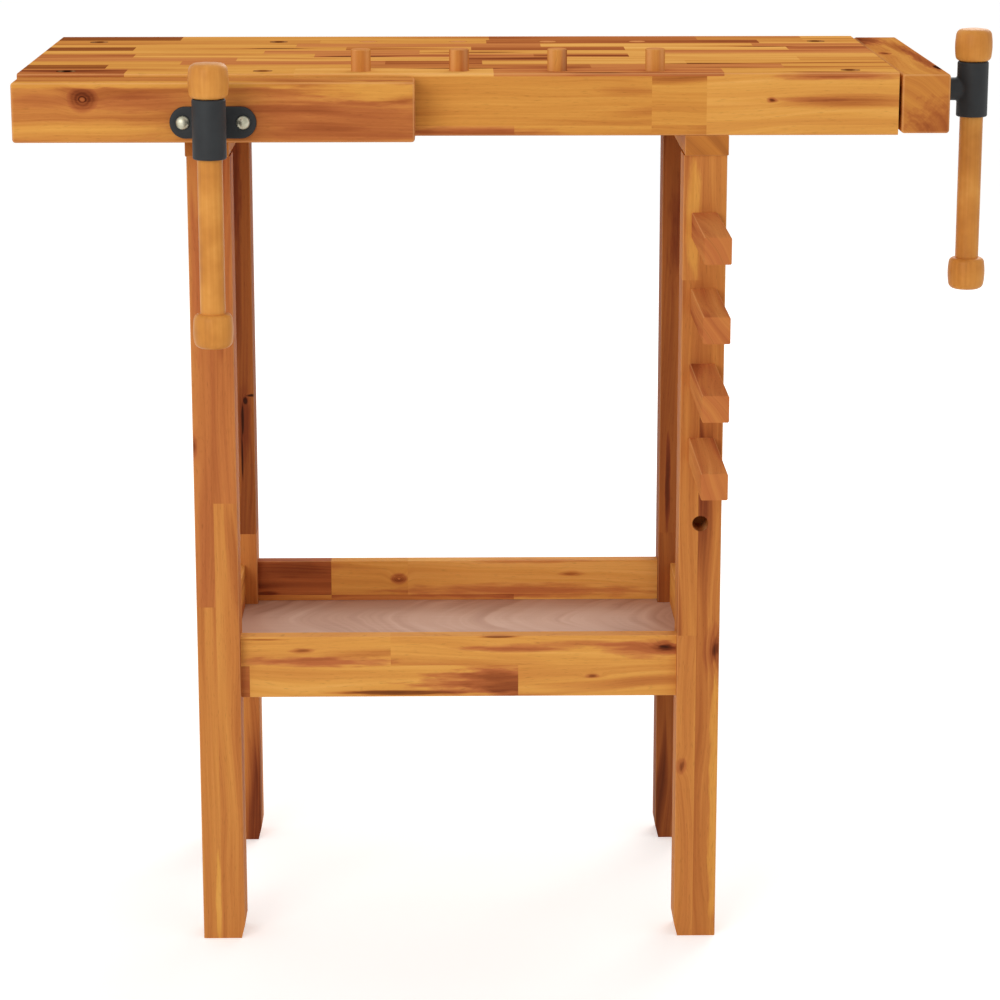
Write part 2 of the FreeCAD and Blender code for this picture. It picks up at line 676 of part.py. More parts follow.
def build_dogs():
    filled = slice(first_dog, first_dog + dog_count)
    places = [(x, front_row, dog_height) for x in front_hole_places[filled]]
    places += [(x, rear_row, 0.0) for x in rear_hole_places[filled]]
    for number, (x, y, height) in enumerate(places, start=1):
        start = Vector(x, y, top_height + height - dog_length)
        dog = rod(start, Z, dog_hole_diameter - 2 * running_clearance, dog_length)
        rim = [edge for edge in round_edges(dog) if edge.CenterOfMass.z > start.z + dog_length / 2]
        save(f"bench_dog_{number}", dog.makeFillet(dog_round, rim))


def build_fittings_of_both_vises():
    """The bushes of the two vises are alike, and so are their nut screws. All are fixed in the top."""
    vises = (front_vise, end_vise)
    bushes = [vise.placed(vise.guide_bush(side)) for vise in vises for side in vise.rod_sides]
    save("guide_bushes", Part.makeCompound(bushes))
    screws = [vise.placed(vise.nut_screw(side)) for vise in vises for side in vise.nut_screw_sides]
    save("nut_screws", Part.makeCompound(screws))


build_top()
build_legs()
build_tray()
build_pegs()
build_dogs()
front_vise.build()
end_vise.build()
build_fittings_of_both_vises()

os.makedirs("parts", exist_ok=True)
for name, shape in parts.items():
    shape.exportStep(f"parts/{name}.step")
print(len(parts), "parts, origin at", tuple(round(value, 2) for value in origin))
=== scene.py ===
# %% [markdown]
# # A woodworking bench with two vises
#
# This lesson dresses a finished CAD model of a small acacia workbench. The CAD model fixes every size and
# place, so nothing here moves or resizes a part. What is left for Blender is what the eye reads as real:
# glued staves of different tone, turned handles, cast iron, threads and soft light.

# %% Load the fixed frame
import json
import math

import bmesh
import bpy
import numpy as np
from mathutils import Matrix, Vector


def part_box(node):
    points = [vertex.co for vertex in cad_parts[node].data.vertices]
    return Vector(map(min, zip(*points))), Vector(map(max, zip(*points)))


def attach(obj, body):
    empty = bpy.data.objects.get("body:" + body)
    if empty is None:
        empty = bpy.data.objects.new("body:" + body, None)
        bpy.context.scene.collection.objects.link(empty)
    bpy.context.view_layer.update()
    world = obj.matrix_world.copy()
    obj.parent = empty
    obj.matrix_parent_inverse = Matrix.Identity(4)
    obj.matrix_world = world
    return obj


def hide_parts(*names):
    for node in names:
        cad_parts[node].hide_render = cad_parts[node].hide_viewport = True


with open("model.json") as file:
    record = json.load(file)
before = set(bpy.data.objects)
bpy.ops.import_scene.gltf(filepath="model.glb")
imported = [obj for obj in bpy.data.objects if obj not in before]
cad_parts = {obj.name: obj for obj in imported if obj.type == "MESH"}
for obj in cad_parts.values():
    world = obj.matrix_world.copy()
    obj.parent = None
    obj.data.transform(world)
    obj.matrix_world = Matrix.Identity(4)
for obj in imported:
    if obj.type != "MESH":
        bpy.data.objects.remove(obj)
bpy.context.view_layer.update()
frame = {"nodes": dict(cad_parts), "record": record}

MM = 0.001
nodes = frame["nodes"]

# %% [markdown]
# ## Colours
#
# Colours are written as sRGB hex values, as a paint chart or a colour picker gives them. Blender's shaders
# count in linear light, so one function turns every value.

# %% From a hex value to linear light
def linear(hex_colour):
    """sRGB to linear: c / 12.92 up to 0.04045, and ((c + 0.055) / 1.055) to the power 2.4 above it."""
    parts = [int(hex_colour[i:i + 2], 16) / 255 for i in (0, 2, 4)]
    return [c / 12.92 if c <= 0.04045 else ((c + 0.055) / 1.055) ** 2.4 for c in parts] + [1.0]


print("the middle grey 808080 is", round(linear("808080")[0], 3), "in linear light")

# %% [markdown]
# ## Shader nodes
#
# A material is a tree of nodes. One function adds any of them: it takes the node's kind, what goes into its
# sockets, and its settings. A socket is given a value or another node, whose first output is then linked.
# A colour ramp also takes its stops, each a position and a linear colour. A second function starts an empty
# material, and a third puts one on a piece of the CAD model.

# %% Add a node, start a material, dress a piece
def add(tree, kind, sockets=None, stops=(), **settings):
    """Adds one node. Sockets are named or numbered, and take a value, a node or another node's output."""
    made = tree.nodes.new("ShaderNode" + kind)
    for name, value in settings.items():
        setattr(made, name, value)
    for name, value in (sockets or {}).items():
        if isinstance(value, bpy.types.Node):
            value = value.outputs[0]
        if isinstance(value, bpy.types.NodeSocket):
            tree.links.new(value, made.inputs[name])
        else:
            made.inputs[name].default_value = value
    if stops:
        elements = made.color_ramp.elements
        while len(elements) < len(stops):
            elements.new(1.0)
        for element, (position, colour) in zip(elements, stops):
            element.position = position
            element.color = colour
    return made


def new_material(name):
    """An empty material and its node tree."""
    made = bpy.data.materials.new(name)
    made.use_nodes = True
    made.node_tree.nodes.clear()
    return made, made.node_tree


def dress(node_name, material):
    """Gives a CAD node its material, in every slot that it has."""
    mesh = nodes[node_name].data
    mesh.materials.clear()
    mesh.materials.append(material)
    print(f"{node_name}: {material.name}, {len(material.node_tree.nodes)} shader nodes")


# %% [markdown]
# ## Oiled acacia
#
# Acacia heartwood runs from pale honey to dark russet within one tree, and a bench like this is glued from
# short blocks of whatever came off the saw. So the wood is made in two layers. The first, in the next five
# code cells, is one shader group for the wood itself. The second comes later, and says where each block
# starts and how dark it is.
#
# The group takes a place in the wood, in mm with the grain along X, and the block's tone, seed and redness
# as the three parts of a colour. The swirl and the mark say what a knot does there. End is 1 on end grain,
# and Arris is 1 on a rounded edge, where the group paints a pale highlight.

# %% The sockets of the wood group
WOOD_INPUTS = {"Place": "Vector", "Block": "Color", "Swirl": "Float", "Mark": "Color", "End": "Float",
               "Arris": "Float"}
WOOD_OUTPUTS = {"Color": "Color", "Roughness": "Float", "Height": "Float"}

wood = bpy.data.node_groups.new("oiled_acacia", "ShaderNodeTree")
for way, wood_sockets in (("INPUT", WOOD_INPUTS), ("OUTPUT", WOOD_OUTPUTS)):
    for socket_name, kind in wood_sockets.items():
        wood.interface.new_socket(socket_name, in_out=way, socket_type="NodeSocket" + kind)

given = wood.nodes.new("NodeGroupInput")
block = add(wood, "SeparateColor", {0: given.outputs["Block"]})
tone, seed, redness = block.outputs
mark = add(wood, "SeparateColor", {0: given.outputs["Mark"]})
mark_dark, mark_red, _ = mark.outputs
print("oiled acacia takes", ", ".join(WOOD_INPUTS), "and gives", ", ".join(WOOD_OUTPUTS))

# %% [markdown]
# ## Growth rings
#
# A tree grows in rings round its pith, and a saw cuts them lengthwise into streaks and crosswise into arcs.
# A flat picture of streaks would look right on one face only. Here every point gets its distance from a
# pith that lies outside the block, and the streaks follow that distance, so that the long faces and the end
# grain of one block belong together.

# %% Distance from the pith
BLOCK_SHIFT = (3711.0, 517.0, 893.0)    # mm of noise between a block of seed 0 and one of seed 1
WANDER = (1 / 330, 1 / 90, 1 / 90)      # the grain wanders over 330 mm of length and 90 mm of width
SWAY = 34.0                             # mm from one extreme of the wandering to the other

# Every block has its own stretch of the noise, far from its neighbour's.
shift = add(wood, "VectorMath", {0: BLOCK_SHIFT, "Scale": seed}, operation="SCALE")
own_place = add(wood, "VectorMath", {0: given.outputs["Place"], 1: shift}, operation="ADD")
own_along = add(wood, "SeparateXYZ", {0: own_place}).outputs[0]

slow = add(wood, "VectorMath", {0: own_place, 1: WANDER}, operation="MULTIPLY")
wander = add(wood, "TexNoise", {"Vector": slow, "Scale": 1.0, "Detail": 2.0, "Roughness": 0.45})
sway = add(wood, "VectorMath", {0: wander.outputs["Color"], 1: (0.5, 0.5, 0.5)}, operation="SUBTRACT")
sway = add(wood, "VectorMath", {0: sway, 1: (0.0, SWAY, SWAY)}, operation="MULTIPLY")

# The pith is 25 to 80 mm off one way and 10 to 80 mm off the other, as the seed and nine times the seed say.
pith_1 = add(wood, "Math", {0: seed, 1: 55.0, 2: 25.0}, operation="MULTIPLY_ADD")
seed_9 = add(wood, "Math", {0: seed, 1: 9.0}, operation="MULTIPLY")
seed_9 = add(wood, "Math", {0: seed_9}, operation="FRACT")
pith_2 = add(wood, "Math", {0: seed_9, 1: 70.0, 2: 10.0}, operation="MULTIPLY_ADD")
pith = add(wood, "CombineXYZ", {1: pith_1, 2: pith_2})

flat_place = add(wood, "VectorMath", {0: given.outputs["Place"], 1: (0.0, 1.0, 1.0)}, operation="MULTIPLY")
from_pith = add(wood, "VectorMath", {0: flat_place, 1: pith}, operation="ADD")
from_pith = add(wood, "VectorMath", {0: from_pith, 1: sway}, operation="ADD")
ring = add(wood, "VectorMath", {0: from_pith}, operation="LENGTH").outputs["Value"]
ring = add(wood, "Math", {0: ring, 1: given.outputs["Swirl"]}, operation="ADD")
print("distance from the pith:", len(wood.nodes), "nodes so far")

# %% [markdown]
# ## Streaks
#
# Within a block the eye sees broad bands of colour, fine lines, a few dark streaks of heartwood, and pores.
# All four are the same noise, drawn out along the grain by different amounts. Real pores are a tenth of a
# millimetre wide, and are drawn wider here so that they show.

# %% Four kinds of streaks
def streaks(width, length, detail, offset):
    """Noise drawn out along the grain: one turn of it per width mm of ring and per length mm of board. The
    offset keeps the four kinds apart, because it says how far the seed moves each."""
    across = add(wood, "Math", {0: ring, 1: 1 / width}, operation="MULTIPLY")
    along = add(wood, "Math", {0: own_along, 1: 1 / length}, operation="MULTIPLY")
    apart = add(wood, "Math", {0: seed, 1: offset}, operation="MULTIPLY")
    place = add(wood, "CombineXYZ", {0: across, 1: along, 2: apart})
    return add(wood, "TexNoise", {"Vector": place, "Scale": 1.0, "Detail": detail, "Roughness": 0.55})


broad = streaks(11.0, 420.0, 3.0, 61.0)
fine = streaks(1.7, 150.0, 2.0, 23.0)
heart = streaks(19.0, 300.0, 1.5, 97.0)
pores = streaks(0.55, 9.0, 1.0, 11.0)
print("streaks:", len(wood.nodes), "nodes so far")

# %% [markdown]
# ## How light the wood is
#
# The block's tone comes first. Its streaks then lift or lower it, and heart streaks and marks are taken away
# from it. End grain drinks more oil, so it is darker and calmer, and dark heartwood is calmer too.

# %% Lightness from tone, streaks and marks
BROAD, FINE = 0.64, 0.32                # from the darkest to the lightest broad and fine streak
HEART_DEPTH = 0.36                      # what a full heart streak takes
MARK_DEPTH, END_DEPTH = 0.85, 0.10      # what a full mark and end grain take

value = add(wood, "Math", {0: broad, 1: BROAD, 2: -BROAD / 2}, operation="MULTIPLY_ADD")
value = add(wood, "Math", {0: fine, 1: FINE, 2: value}, operation="MULTIPLY_ADD")
value = add(wood, "Math", {0: value, 1: FINE / 2}, operation="SUBTRACT")
calm = add(wood, "Math", {0: given.outputs["End"], 1: -0.6, 2: 1.0}, operation="MULTIPLY_ADD")
dark_calm = add(wood, "Math", {0: tone, 1: 1.6}, operation="MULTIPLY", use_clamp=True)
calm = add(wood, "Math", {0: calm, 1: dark_calm}, operation="MULTIPLY")
value = add(wood, "Math", {0: value, 1: calm, 2: tone}, operation="MULTIPLY_ADD")

heart_dark = add(wood, "MapRange", {"Value": heart, 1: 0.58, 2: 0.74, 3: 0.0, 4: HEART_DEPTH}, clamp=True)
heart_dark = add(wood, "Math", {0: heart_dark, 1: calm}, operation="MULTIPLY")
value = add(wood, "Math", {0: value, 1: heart_dark}, operation="SUBTRACT")
value = add(wood, "Math", {0: mark_dark, 1: -MARK_DEPTH, 2: value}, operation="MULTIPLY_ADD")
value = add(wood, "Math", {0: given.outputs["End"], 1: -END_DEPTH, 2: value}, operation="MULTIPLY_ADD")
print("lightness:", len(wood.nodes), "nodes so far")

# %% [markdown]
# ## From lightness to colour and surface
#
# One ramp would give every dark streak the same hue. Real heartwood reddens as it darkens, by a different
# amount in each block. So the lightness goes through two ramps, a honey one and a russet one, and the
# block's redness mixes them. Oil leaves a satin surface, in which streaks stand up a little and pores are
# small pits.

# %% Colour, roughness and relief
HONEY = (("4a2a14", 0.0), ("8b5024", 0.2), ("bf7735", 0.42),
         ("d38f42", 0.6), ("df9e4c", 0.78), ("eeb262", 1.0))
RUSSET = (("3a1b10", 0.0), ("78391f", 0.2), ("a65b31", 0.42),
          ("bd6d3e", 0.6), ("cc7f49", 0.78), ("dd985c", 1.0))
EDGE_HIGHLIGHT = "eeb074"                         # a painted highlight, where light catches a rounded edge
RED_DRIFT = 0.9                         # how much redder the low end of a broad streak is than its high end

honey = add(wood, "ValToRGB", {0: value}, [(at, linear(shade)) for shade, at in HONEY])
russet = add(wood, "ValToRGB", {0: value}, [(at, linear(shade)) for shade, at in RUSSET])
red_share = add(wood, "Math", {0: broad, 1: -RED_DRIFT, 2: RED_DRIFT / 2}, operation="MULTIPLY_ADD")
red_share = add(wood, "Math", {0: heart_dark, 1: 1.6, 2: red_share}, operation="MULTIPLY_ADD")
red_share = add(wood, "Math", {0: red_share, 1: mark_red}, operation="ADD")
red_share = add(wood, "Math", {0: red_share, 1: redness}, operation="ADD", use_clamp=True)
colour = add(wood, "Mix", {0: red_share, 6: honey, 7: russet}, data_type="RGBA").outputs[2]

pore_dark = add(wood, "MapRange", {"Value": pores, 1: 0.60, 2: 0.78, 3: 1.0, 4: 0.80}, clamp=True)
colour = add(wood, "VectorMath", {0: colour, "Scale": pore_dark.outputs[0]}, operation="SCALE")
# Painted highlight: rounded edges are mixed towards a pale colour, as light catching an arris makes them.
edge_highlight = add(wood, "Math", {0: given.outputs["Arris"], 1: 0.38}, operation="MULTIPLY")
colour = add(wood, "Mix", {0: edge_highlight, 6: colour, 7: linear(EDGE_HIGHLIGHT)}, data_type="RGBA").outputs[2]
rough = add(wood, "Math", {0: fine, 1: 0.16, 2: 0.52}, operation="MULTIPLY_ADD")
height = add(wood, "Math", {0: fine, 1: 0.5, 2: pore_dark}, operation="MULTIPLY_ADD")
handed = wood.nodes.new("NodeGroupOutput")
for socket, source in zip(handed.inputs, (colour, rough.outputs[0], height.outputs[0])):
    wood.links.new(source, socket)
print("oiled acacia:", len(wood.nodes), "nodes in all")

# %% [markdown]
# ## Staves and blocks
#
# A glued board is a layout: staves side by side, each a row of blocks end to end. The blocks could be meshes
# of their own, but a planed board is one flush surface, so one colour ramp with hard steps holds a stave.
# Its stops are the block joints, and each colour carries three plain numbers, which are the block's tone,
# its seed and how red it is. The tones have names, as a joiner would sort the wood.

# %% A stave as a colour ramp
TONES = {"pale": (0.86, 0.06), "honey": (0.76, 0.1), "amber": (0.65, 0.28), "copper": (0.60, 0.5),
         "rose": (0.57, 0.8), "coral": (0.72, 0.85), "russet": (0.47, 0.9), "tan": (0.62, 0.0),
         "umber": (0.29, 0.6), "chestnut": (0.54, 0.5), "walnut": (0.50, 0.1)}


def random_stave(rng, length, words, block_length):
    """A row of blocks of random lengths, each between 0.6 and 1.4 times block_length."""
    starts = np.cumsum(rng.uniform(0.6, 1.4, 24) * block_length) - block_length
    starts = [0.0] + [float(start) for start in starts if 0 < start < length]
    return [(start, str(rng.choice(words))) for start in starts]


def lay_staves(tree, along, across, length, staves, rng):
    """The tone, seed and redness at each point, and a list of each block's stave, start and seed. Along and
    across are the point's mm down the board and over its staves."""
    share = add(tree, "Math", {0: along, 1: 1 / length}, operation="MULTIPLY")
    block, seeds = None, []
    for start, blocks in staves:
        stops = [(at / length, (TONES[word][0], rng.uniform(), TONES[word][1], 1.0)) for at, word in blocks]
        seeds += [(start, at, stop[1][1]) for (at, _), stop in zip(blocks, stops)]
        stave = add(tree, "ValToRGB", {0: share}, stops)
        stave.color_ramp.interpolation = "CONSTANT"
        if block is None:
            block = stave.outputs[0]
            continue
        past = add(tree, "Math", {0: across, 1: start}, operation="GREATER_THAN")
        block = add(tree, "Mix", {0: past, 6: block, 7: stave}, data_type="RGBA").outputs[2]
    return block, seeds


print(len(TONES), "tones, from umber at", TONES["umber"][0], "to pale at", TONES["pale"][0])

# %% [markdown]
# ## Knots, stains and cracks
#
# What tells one board from the next is where its knots are. Each is a mark: a kind, a place, three radii, a
# strength and a lift. The kind is a profile from the middle outwards that says how dark and how red the
# wood gets. A picture of a knot would do for one face, but a mark has depth, so it goes round an edge.

# %% Kinds of mark
# Each stop: distance as a share of the radius, darkness, redness. A light streak takes its numbers away.
PROFILES = {
    "knot": [(0.0, 0.02, 0.9), (0.13, 0.10, 0.9), (0.22, 0.85, 0.6), (0.30, 0.40, 0.8), (0.42, 0.62, 0.7),
             (0.54, 0.36, 0.8), (0.66, 0.40, 0.8), (0.82, 0.14, 0.6), (1.0, 0.0, 0.0)],
    "eye": [(0.0, 1.0, 0.6), (0.35, 0.8, 0.7), (0.55, 0.35, 0.8), (0.75, 0.22, 0.7), (1.0, 0.0, 0.0)],
    "stain": [(0.0, 0.32, 1.0), (0.4, 0.27, 0.9), (0.75, 0.10, 0.5), (1.0, 0.0, 0.0)],
    "heart": [(0.0, 0.42, 1.0), (0.5, 0.36, 0.9), (0.8, 0.14, 0.6), (1.0, 0.0, 0.0)],
    "crack": [(0.0, 1.0, 0.3), (0.5, 0.9, 0.3), (0.75, 0.3, 0.3), (1.0, 0.0, 0.0)],
    "light": [(0.0, 0.25, 0.9), (0.6, 0.18, 0.7), (1.0, 0.0, 0.0)],
}
print(len(PROFILES), "kinds of mark:", ", ".join(PROFILES))

# %% [markdown]
# ## Drawing the marks
#
# Noise roughens the distance from a mark's middle, because a plain oval would look stamped. Near the mark
# the ring distance is raised by the lift, so that the grain flows round a knot. A patch of heartwood ends at
# the glue line, so it is kept to the block whose seed it has.

# %% Marks in the wood
RAGGED = {"knot": 0.22, "crack": 0.5}   # how rough the outline is, where it isn't 1
RAGGED_GRAIN = (1 / 30, 1 / 5, 1 / 5)   # its noise is 30 mm long and 5 mm wide
RAGGED_REACH = 1.1                      # radii from the lowest to the highest of that noise
LIFT_REACH = 2.2                        # radii out to which the grain flows round a mark
SAME_SEED = 0.0005                      # seeds that differ by less are those of one block


def mark_weight(tree, mark, block, seeds, g, s):
    """A mark's strength. A light streak takes darkness away, so its weight is negative, because a ramp's
    colours can't be. Heartwood's is 0 outside the block that holds its middle."""
    kind, place, _, strength, _ = mark
    if kind != "heart":
        return -strength if kind == "light" else strength
    own_seed = [found for stave, at, found in seeds if stave <= place[s] and at <= place[g]][-1]
    in_block = add(tree, "SeparateColor", {0: block}).outputs[1]
    in_block = add(tree, "Math", {0: in_block, 1: own_seed, 2: SAME_SEED}, operation="COMPARE")
    return add(tree, "Math", {0: in_block, 1: strength}, operation="MULTIPLY")


def join_marks(tree, one, others):
    """The sum of a mark and the marks so far, of which there may be none yet."""
    return add(tree, "VectorMath", {0: one, 1: others}, operation="ADD") if others else one


def draw_marks(tree, local, in_wood, block, seeds, g, s, marks):
    """The darkness and redness of all marks, and the lift of the rings. The distance from a mark's middle is
    the length of (point - middle) / radii + noise."""
    marked, swirl = None, 0.0
    ragged = add(tree, "VectorMath", {0: in_wood, 1: RAGGED_GRAIN}, operation="MULTIPLY")
    ragged = add(tree, "TexNoise", {"Vector": ragged, "Scale": 1.0, "Detail": 3.0})
    ragged = add(tree, "VectorMath", {0: ragged.outputs["Color"], 1: (0.5, 0.5, 0.5)}, operation="SUBTRACT")
    ragged = add(tree, "VectorMath", {0: ragged, 1: (RAGGED_REACH,) * 3}, operation="MULTIPLY")
    for mark in marks:
        kind, place, radii, _, lift = mark
        offset = add(tree, "VectorMath", {0: local, 1: place}, operation="SUBTRACT")
        offset = add(tree, "VectorMath", {0: offset, 1: [1 / r for r in radii]}, operation="MULTIPLY")
        smooth = add(tree, "VectorMath", {0: offset}, operation="LENGTH").outputs["Value"]
        rough = add(tree, "VectorMath", {0: ragged, "Scale": RAGGED.get(kind, 1.0)}, operation="SCALE")
        offset = add(tree, "VectorMath", {0: offset, 1: rough}, operation="ADD")
        distance = add(tree, "VectorMath", {0: offset}, operation="LENGTH").outputs["Value"]
        profile = add(tree, "ValToRGB", {0: distance}, [
            (at, (dark, red, 0.0, 1.0)) for at, dark, red in PROFILES[kind]])
        weight = mark_weight(tree, mark, block, seeds, g, s)
        stroke = add(tree, "VectorMath", {0: profile, "Scale": weight}, operation="SCALE")
        marked = join_marks(tree, stroke, marked)
        hill = add(tree, "MapRange", {"Value": smooth, 1: 0.0, 2: LIFT_REACH, 3: lift, 4: 0.0},
                   interpolation_type="SMOOTHERSTEP")
        swirl = add(tree, "Math", {0: hill, 1: swirl}, operation="ADD")
    return marked, swirl


print("the grain flows round a knot of 15 mm out to", 15 * LIFT_REACH, "mm")

# %% [markdown]
# ## Bores, end grain and edges
#
# The open holes for bench dogs get painted shade inside, the shade that a deep narrow recess holds. The
# record lists each as a mount with its place and radius, and every point closer to that axis is in the bore.
# Nothing has to say which faces are end grain or which edges are rounded: the surface's own direction tells.
# A face that looks along the grain is end grain, and one that looks along no axis is a rounded edge.

# %% What the place and the direction of a surface tell
BORED = ("front_dog_beam", "rear_dog_beam")
BORE_SHADE = (0.5, 0.3, 0.0)                  # darkness and redness of the painted shade inside a bore
BORE_SHADE_SKIN = 0.1                         # mm of wood round the bore that counts as in it
DOG_HOLES = [mount for mount in frame["record"]["mounts"] if "dog_hole" in mount["name"]]


def burn_bores(tree, coords, marked):
    """Adds painted shade inside the bores to the marks: those points whose distance from a hole's axis, seen
    from above, is under its radius."""
    flat = add(tree, "VectorMath", {0: coords.outputs["Object"], 1: (1.0, 1.0, 0.0)}, operation="MULTIPLY")
    for hole in DOG_HOLES:
        x, y, _ = hole["pos_m"]
        reach = add(tree, "VectorMath", {0: flat, 1: (x, y, 0.0)}, operation="DISTANCE").outputs["Value"]
        radius = (hole["dims"]["r_mm"] + BORE_SHADE_SKIN) * MM
        inside = add(tree, "Math", {0: reach, 1: radius}, operation="LESS_THAN")
        shaded_bore = add(tree, "VectorMath", {0: BORE_SHADE, "Scale": inside}, operation="SCALE")
        marked = join_marks(tree, shaded_bore, marked)
    return marked


def ends_and_edges(tree, coords, g):
    """1 on end grain, from the normal's share along the grain, and 1 on an edge, where even the largest of
    the normal's three shares is small."""
    facing = add(tree, "VectorMath", {0: coords.outputs["Normal"]}, operation="ABSOLUTE")
    facing = add(tree, "SeparateXYZ", {0: facing})
    end = add(tree, "MapRange", {"Value": facing.outputs[g], 1: 0.6, 2: 0.9, 3: 0.0, 4: 1.0})
    larger = add(tree, "Math", {0: facing.outputs[0], 1: facing.outputs[1]}, operation="MAXIMUM")
    larger = add(tree, "Math", {0: larger, 1: facing.outputs[2]}, operation="MAXIMUM")
    arris = add(tree, "MapRange", {"Value": larger, 1: 0.97, 2: 0.80, 3: 0.0, 4: 1.0})
    return end, arris


print(len(DOG_HOLES), "open dog holes")

# %% [markdown]
# ## The finished board
#
# Now a board is one call: its piece, a seed, the axis that the grain runs along, the axis that the staves
# lie across, the staves and the marks. Oil gives wood a weak, soft shine, and wood that hands and work have
# rubbed matt has none.

# %% Board material
AXES = "XYZ"
WOOD_IOR = 1.48                         # oil and cellulose
WOOD_RELIEF = 0.12                      # mm from the bottom of a pore to the top of a streak


def board(name, seed_number, grain, side, staves, marks=(), shine=0.05):
    """Dresses one piece in acacia. Places are mm from the piece's lowest corner. Grain is the axis that the
    wood grows along, side the axis that the staves lie across, and a stave is its start and its blocks."""
    material, tree = new_material(name)
    low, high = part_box(name)
    coords = add(tree, "TexCoord")
    local = add(tree, "Mapping", {"Vector": coords.outputs["Object"], "Scale": (1 / MM,) * 3,
                                  "Location": [-value / MM for value in low]})
    parts = add(tree, "SeparateXYZ", {0: local}).outputs
    g, s = AXES.index(grain), AXES.index(side)
    in_wood = add(tree, "CombineXYZ", {0: parts[g], 1: parts[s], 2: parts[3 - g - s]})

    length = (high[g] - low[g]) / MM
    block, seeds = lay_staves(tree, parts[g], parts[s], length, staves, np.random.default_rng(seed_number))
    marked, swirl = draw_marks(tree, local, in_wood, block, seeds, g, s, marks)
    # Painted shade inside the open dog holes.
    if name in BORED:
        marked = burn_bores(tree, coords, marked)
    end, arris = ends_and_edges(tree, coords, g)

    grown = {"Place": in_wood, "Block": block, "Swirl": swirl, "End": end, "Arris": arris}
    if marked:
        grown["Mark"] = marked
    grown = add(tree, "Group", grown, node_tree=wood).outputs
    bump = add(tree, "Bump", {"Strength": 0.35, "Distance": WOOD_RELIEF * MM, "Height": grown["Height"]})
    shader = add(tree, "BsdfPrincipled", {
        "Base Color": grown["Color"], "Roughness": grown["Roughness"], "Normal": bump,
        "IOR": WOOD_IOR, "Specular IOR Level": shine})
    add(tree, "OutputMaterial", {"Surface": shader})
    dress(name, material)


# %% [markdown]
# ## The boards of the top
#
# The worktop is three glued boards: a thick beam at the front, a thinner panel, and a thick beam at the
# back. Their staves run the length of the bench. The blocks that stand out are placed where they lie on the
# real top, so the lists below are what a joiner would note from it, in mm from each board's left end.

# %% Front beam
board("front_dog_beam", 21, "X", "Z", [
    (0.0, [(0, "amber"), (300, "copper"), (448, "tan"), (574, "tan"), (623, "honey")]),
    (9.4, [(0, "amber"), (190, "honey"), (330, "tan"), (574, "tan"), (623, "honey")]),
    (54.0, [(0, "rose"), (96, "honey"), (250, "pale"), (430, "coral"), (640, "honey")]),
], shine=0.0, marks=[
    ("eye", (684, 0, 32), (6, 8, 3.0), 0.8, 3.0), ("stain", (715, 0, 33), (40, 8, 3), 0.5, 0.0),
    ("stain", (748, 0, 55), (70, 14, 6), 0.8, 0.0), ("stain", (420, 0, 2), (90, 8, 7), 0.7, 0.0),
    ("crack", (520, 3, 57), (45, 2.5, 2), 0.7, 0.0),
    ("crack", (730, 8, 57), (60, 4, 2), 0.5, 0.0), ("crack", (395, 42, 57), (60, 4, 3), 0.8, 0.0)])

# %% Middle panel and rear beam
board("top_panel", 22, "X", "Y", [
    (0.0, [(0, "umber"), (75, "honey"), (310, "rose"), (520, "coral"), (700, "honey")]),
    (34.0, [(0, "honey"), (140, "coral"), (330, "russet"), (420, "pale"), (610, "honey")]),
    (68.0, [(0, "coral"), (190, "pale"), (400, "russet"), (500, "pale"), (720, "amber")]),
    (102.0, [(0, "rose"), (90, "honey"), (260, "coral"), (470, "rose"), (560, "pale")]),
    (136.0, [(0, "honey"), (210, "coral"), (360, "pale"), (590, "coral")]),
    (170.0, [(0, "umber"), (84, "honey"), (290, "pale"), (410, "russet"), (560, "pale"), (720, "coral")]),
    (205.0, [(0, "honey"), (240, "coral"), (480, "pale"), (690, "coral")]),
], shine=0.0, marks=[
    ("crack", (225, 190, 22), (45, 5, 6), 0.8, 0.0), ("crack", (300, 110, 22), (55, 5, 6), 0.9, 0.0),
    ("stain", (150, 130, 22), (120, 6, 6), 0.6, 0.0), ("crack", (430, 150, 22), (50, 4, 6), 0.7, 0.0),
    ("crack", (620, 40, 22), (60, 4, 6), 0.8, 0.0), ("crack", (700, 205, 22), (40, 4, 6), 0.7, 0.0)])
board("rear_dog_beam", 23, "X", "Y", [
    (0.0, [(0, "amber"), (260, "honey"), (428, "russet"), (700, "honey")]),
    (36.0, [(0, "umber"), (121, "honey"), (430, "rose"), (640, "copper"), (745, "honey")]),
], shine=0.0, marks=[
    ("stain", (420, 60, 57), (90, 8, 8), 0.8, 0.0), ("stain", (700, 20, 57), (120, 10, 8), 0.5, 0.0)])

# %% [markdown]
# ## End aprons
#
# An apron stiffens each end of the thin panel. It is one stave high, and nothing on it stands out, so its
# blocks follow from a seeded draw. A fixed seed makes the bench look the same at every run.

# %% End aprons
LIGHT = ("honey", "honey", "amber", "pale", "tan")
MIXED = ("honey", "amber", "amber", "rose", "russet", "honey")

rng = np.random.default_rng(11)
for apron_name, apron_seed in (("left_end_apron", 24), ("right_end_apron", 25)):
    board(apron_name, apron_seed, "Y", "Z", [(0.0, random_stave(rng, 240, MIXED, 130))])

# %% [markdown]
# ## Legs and bearers
#
# A leg is two strips glued side by side, so its front shows two tones with a line between them. Each leg
# below has the place of that line, the blocks of its left and right strip from the foot up, and its marks.

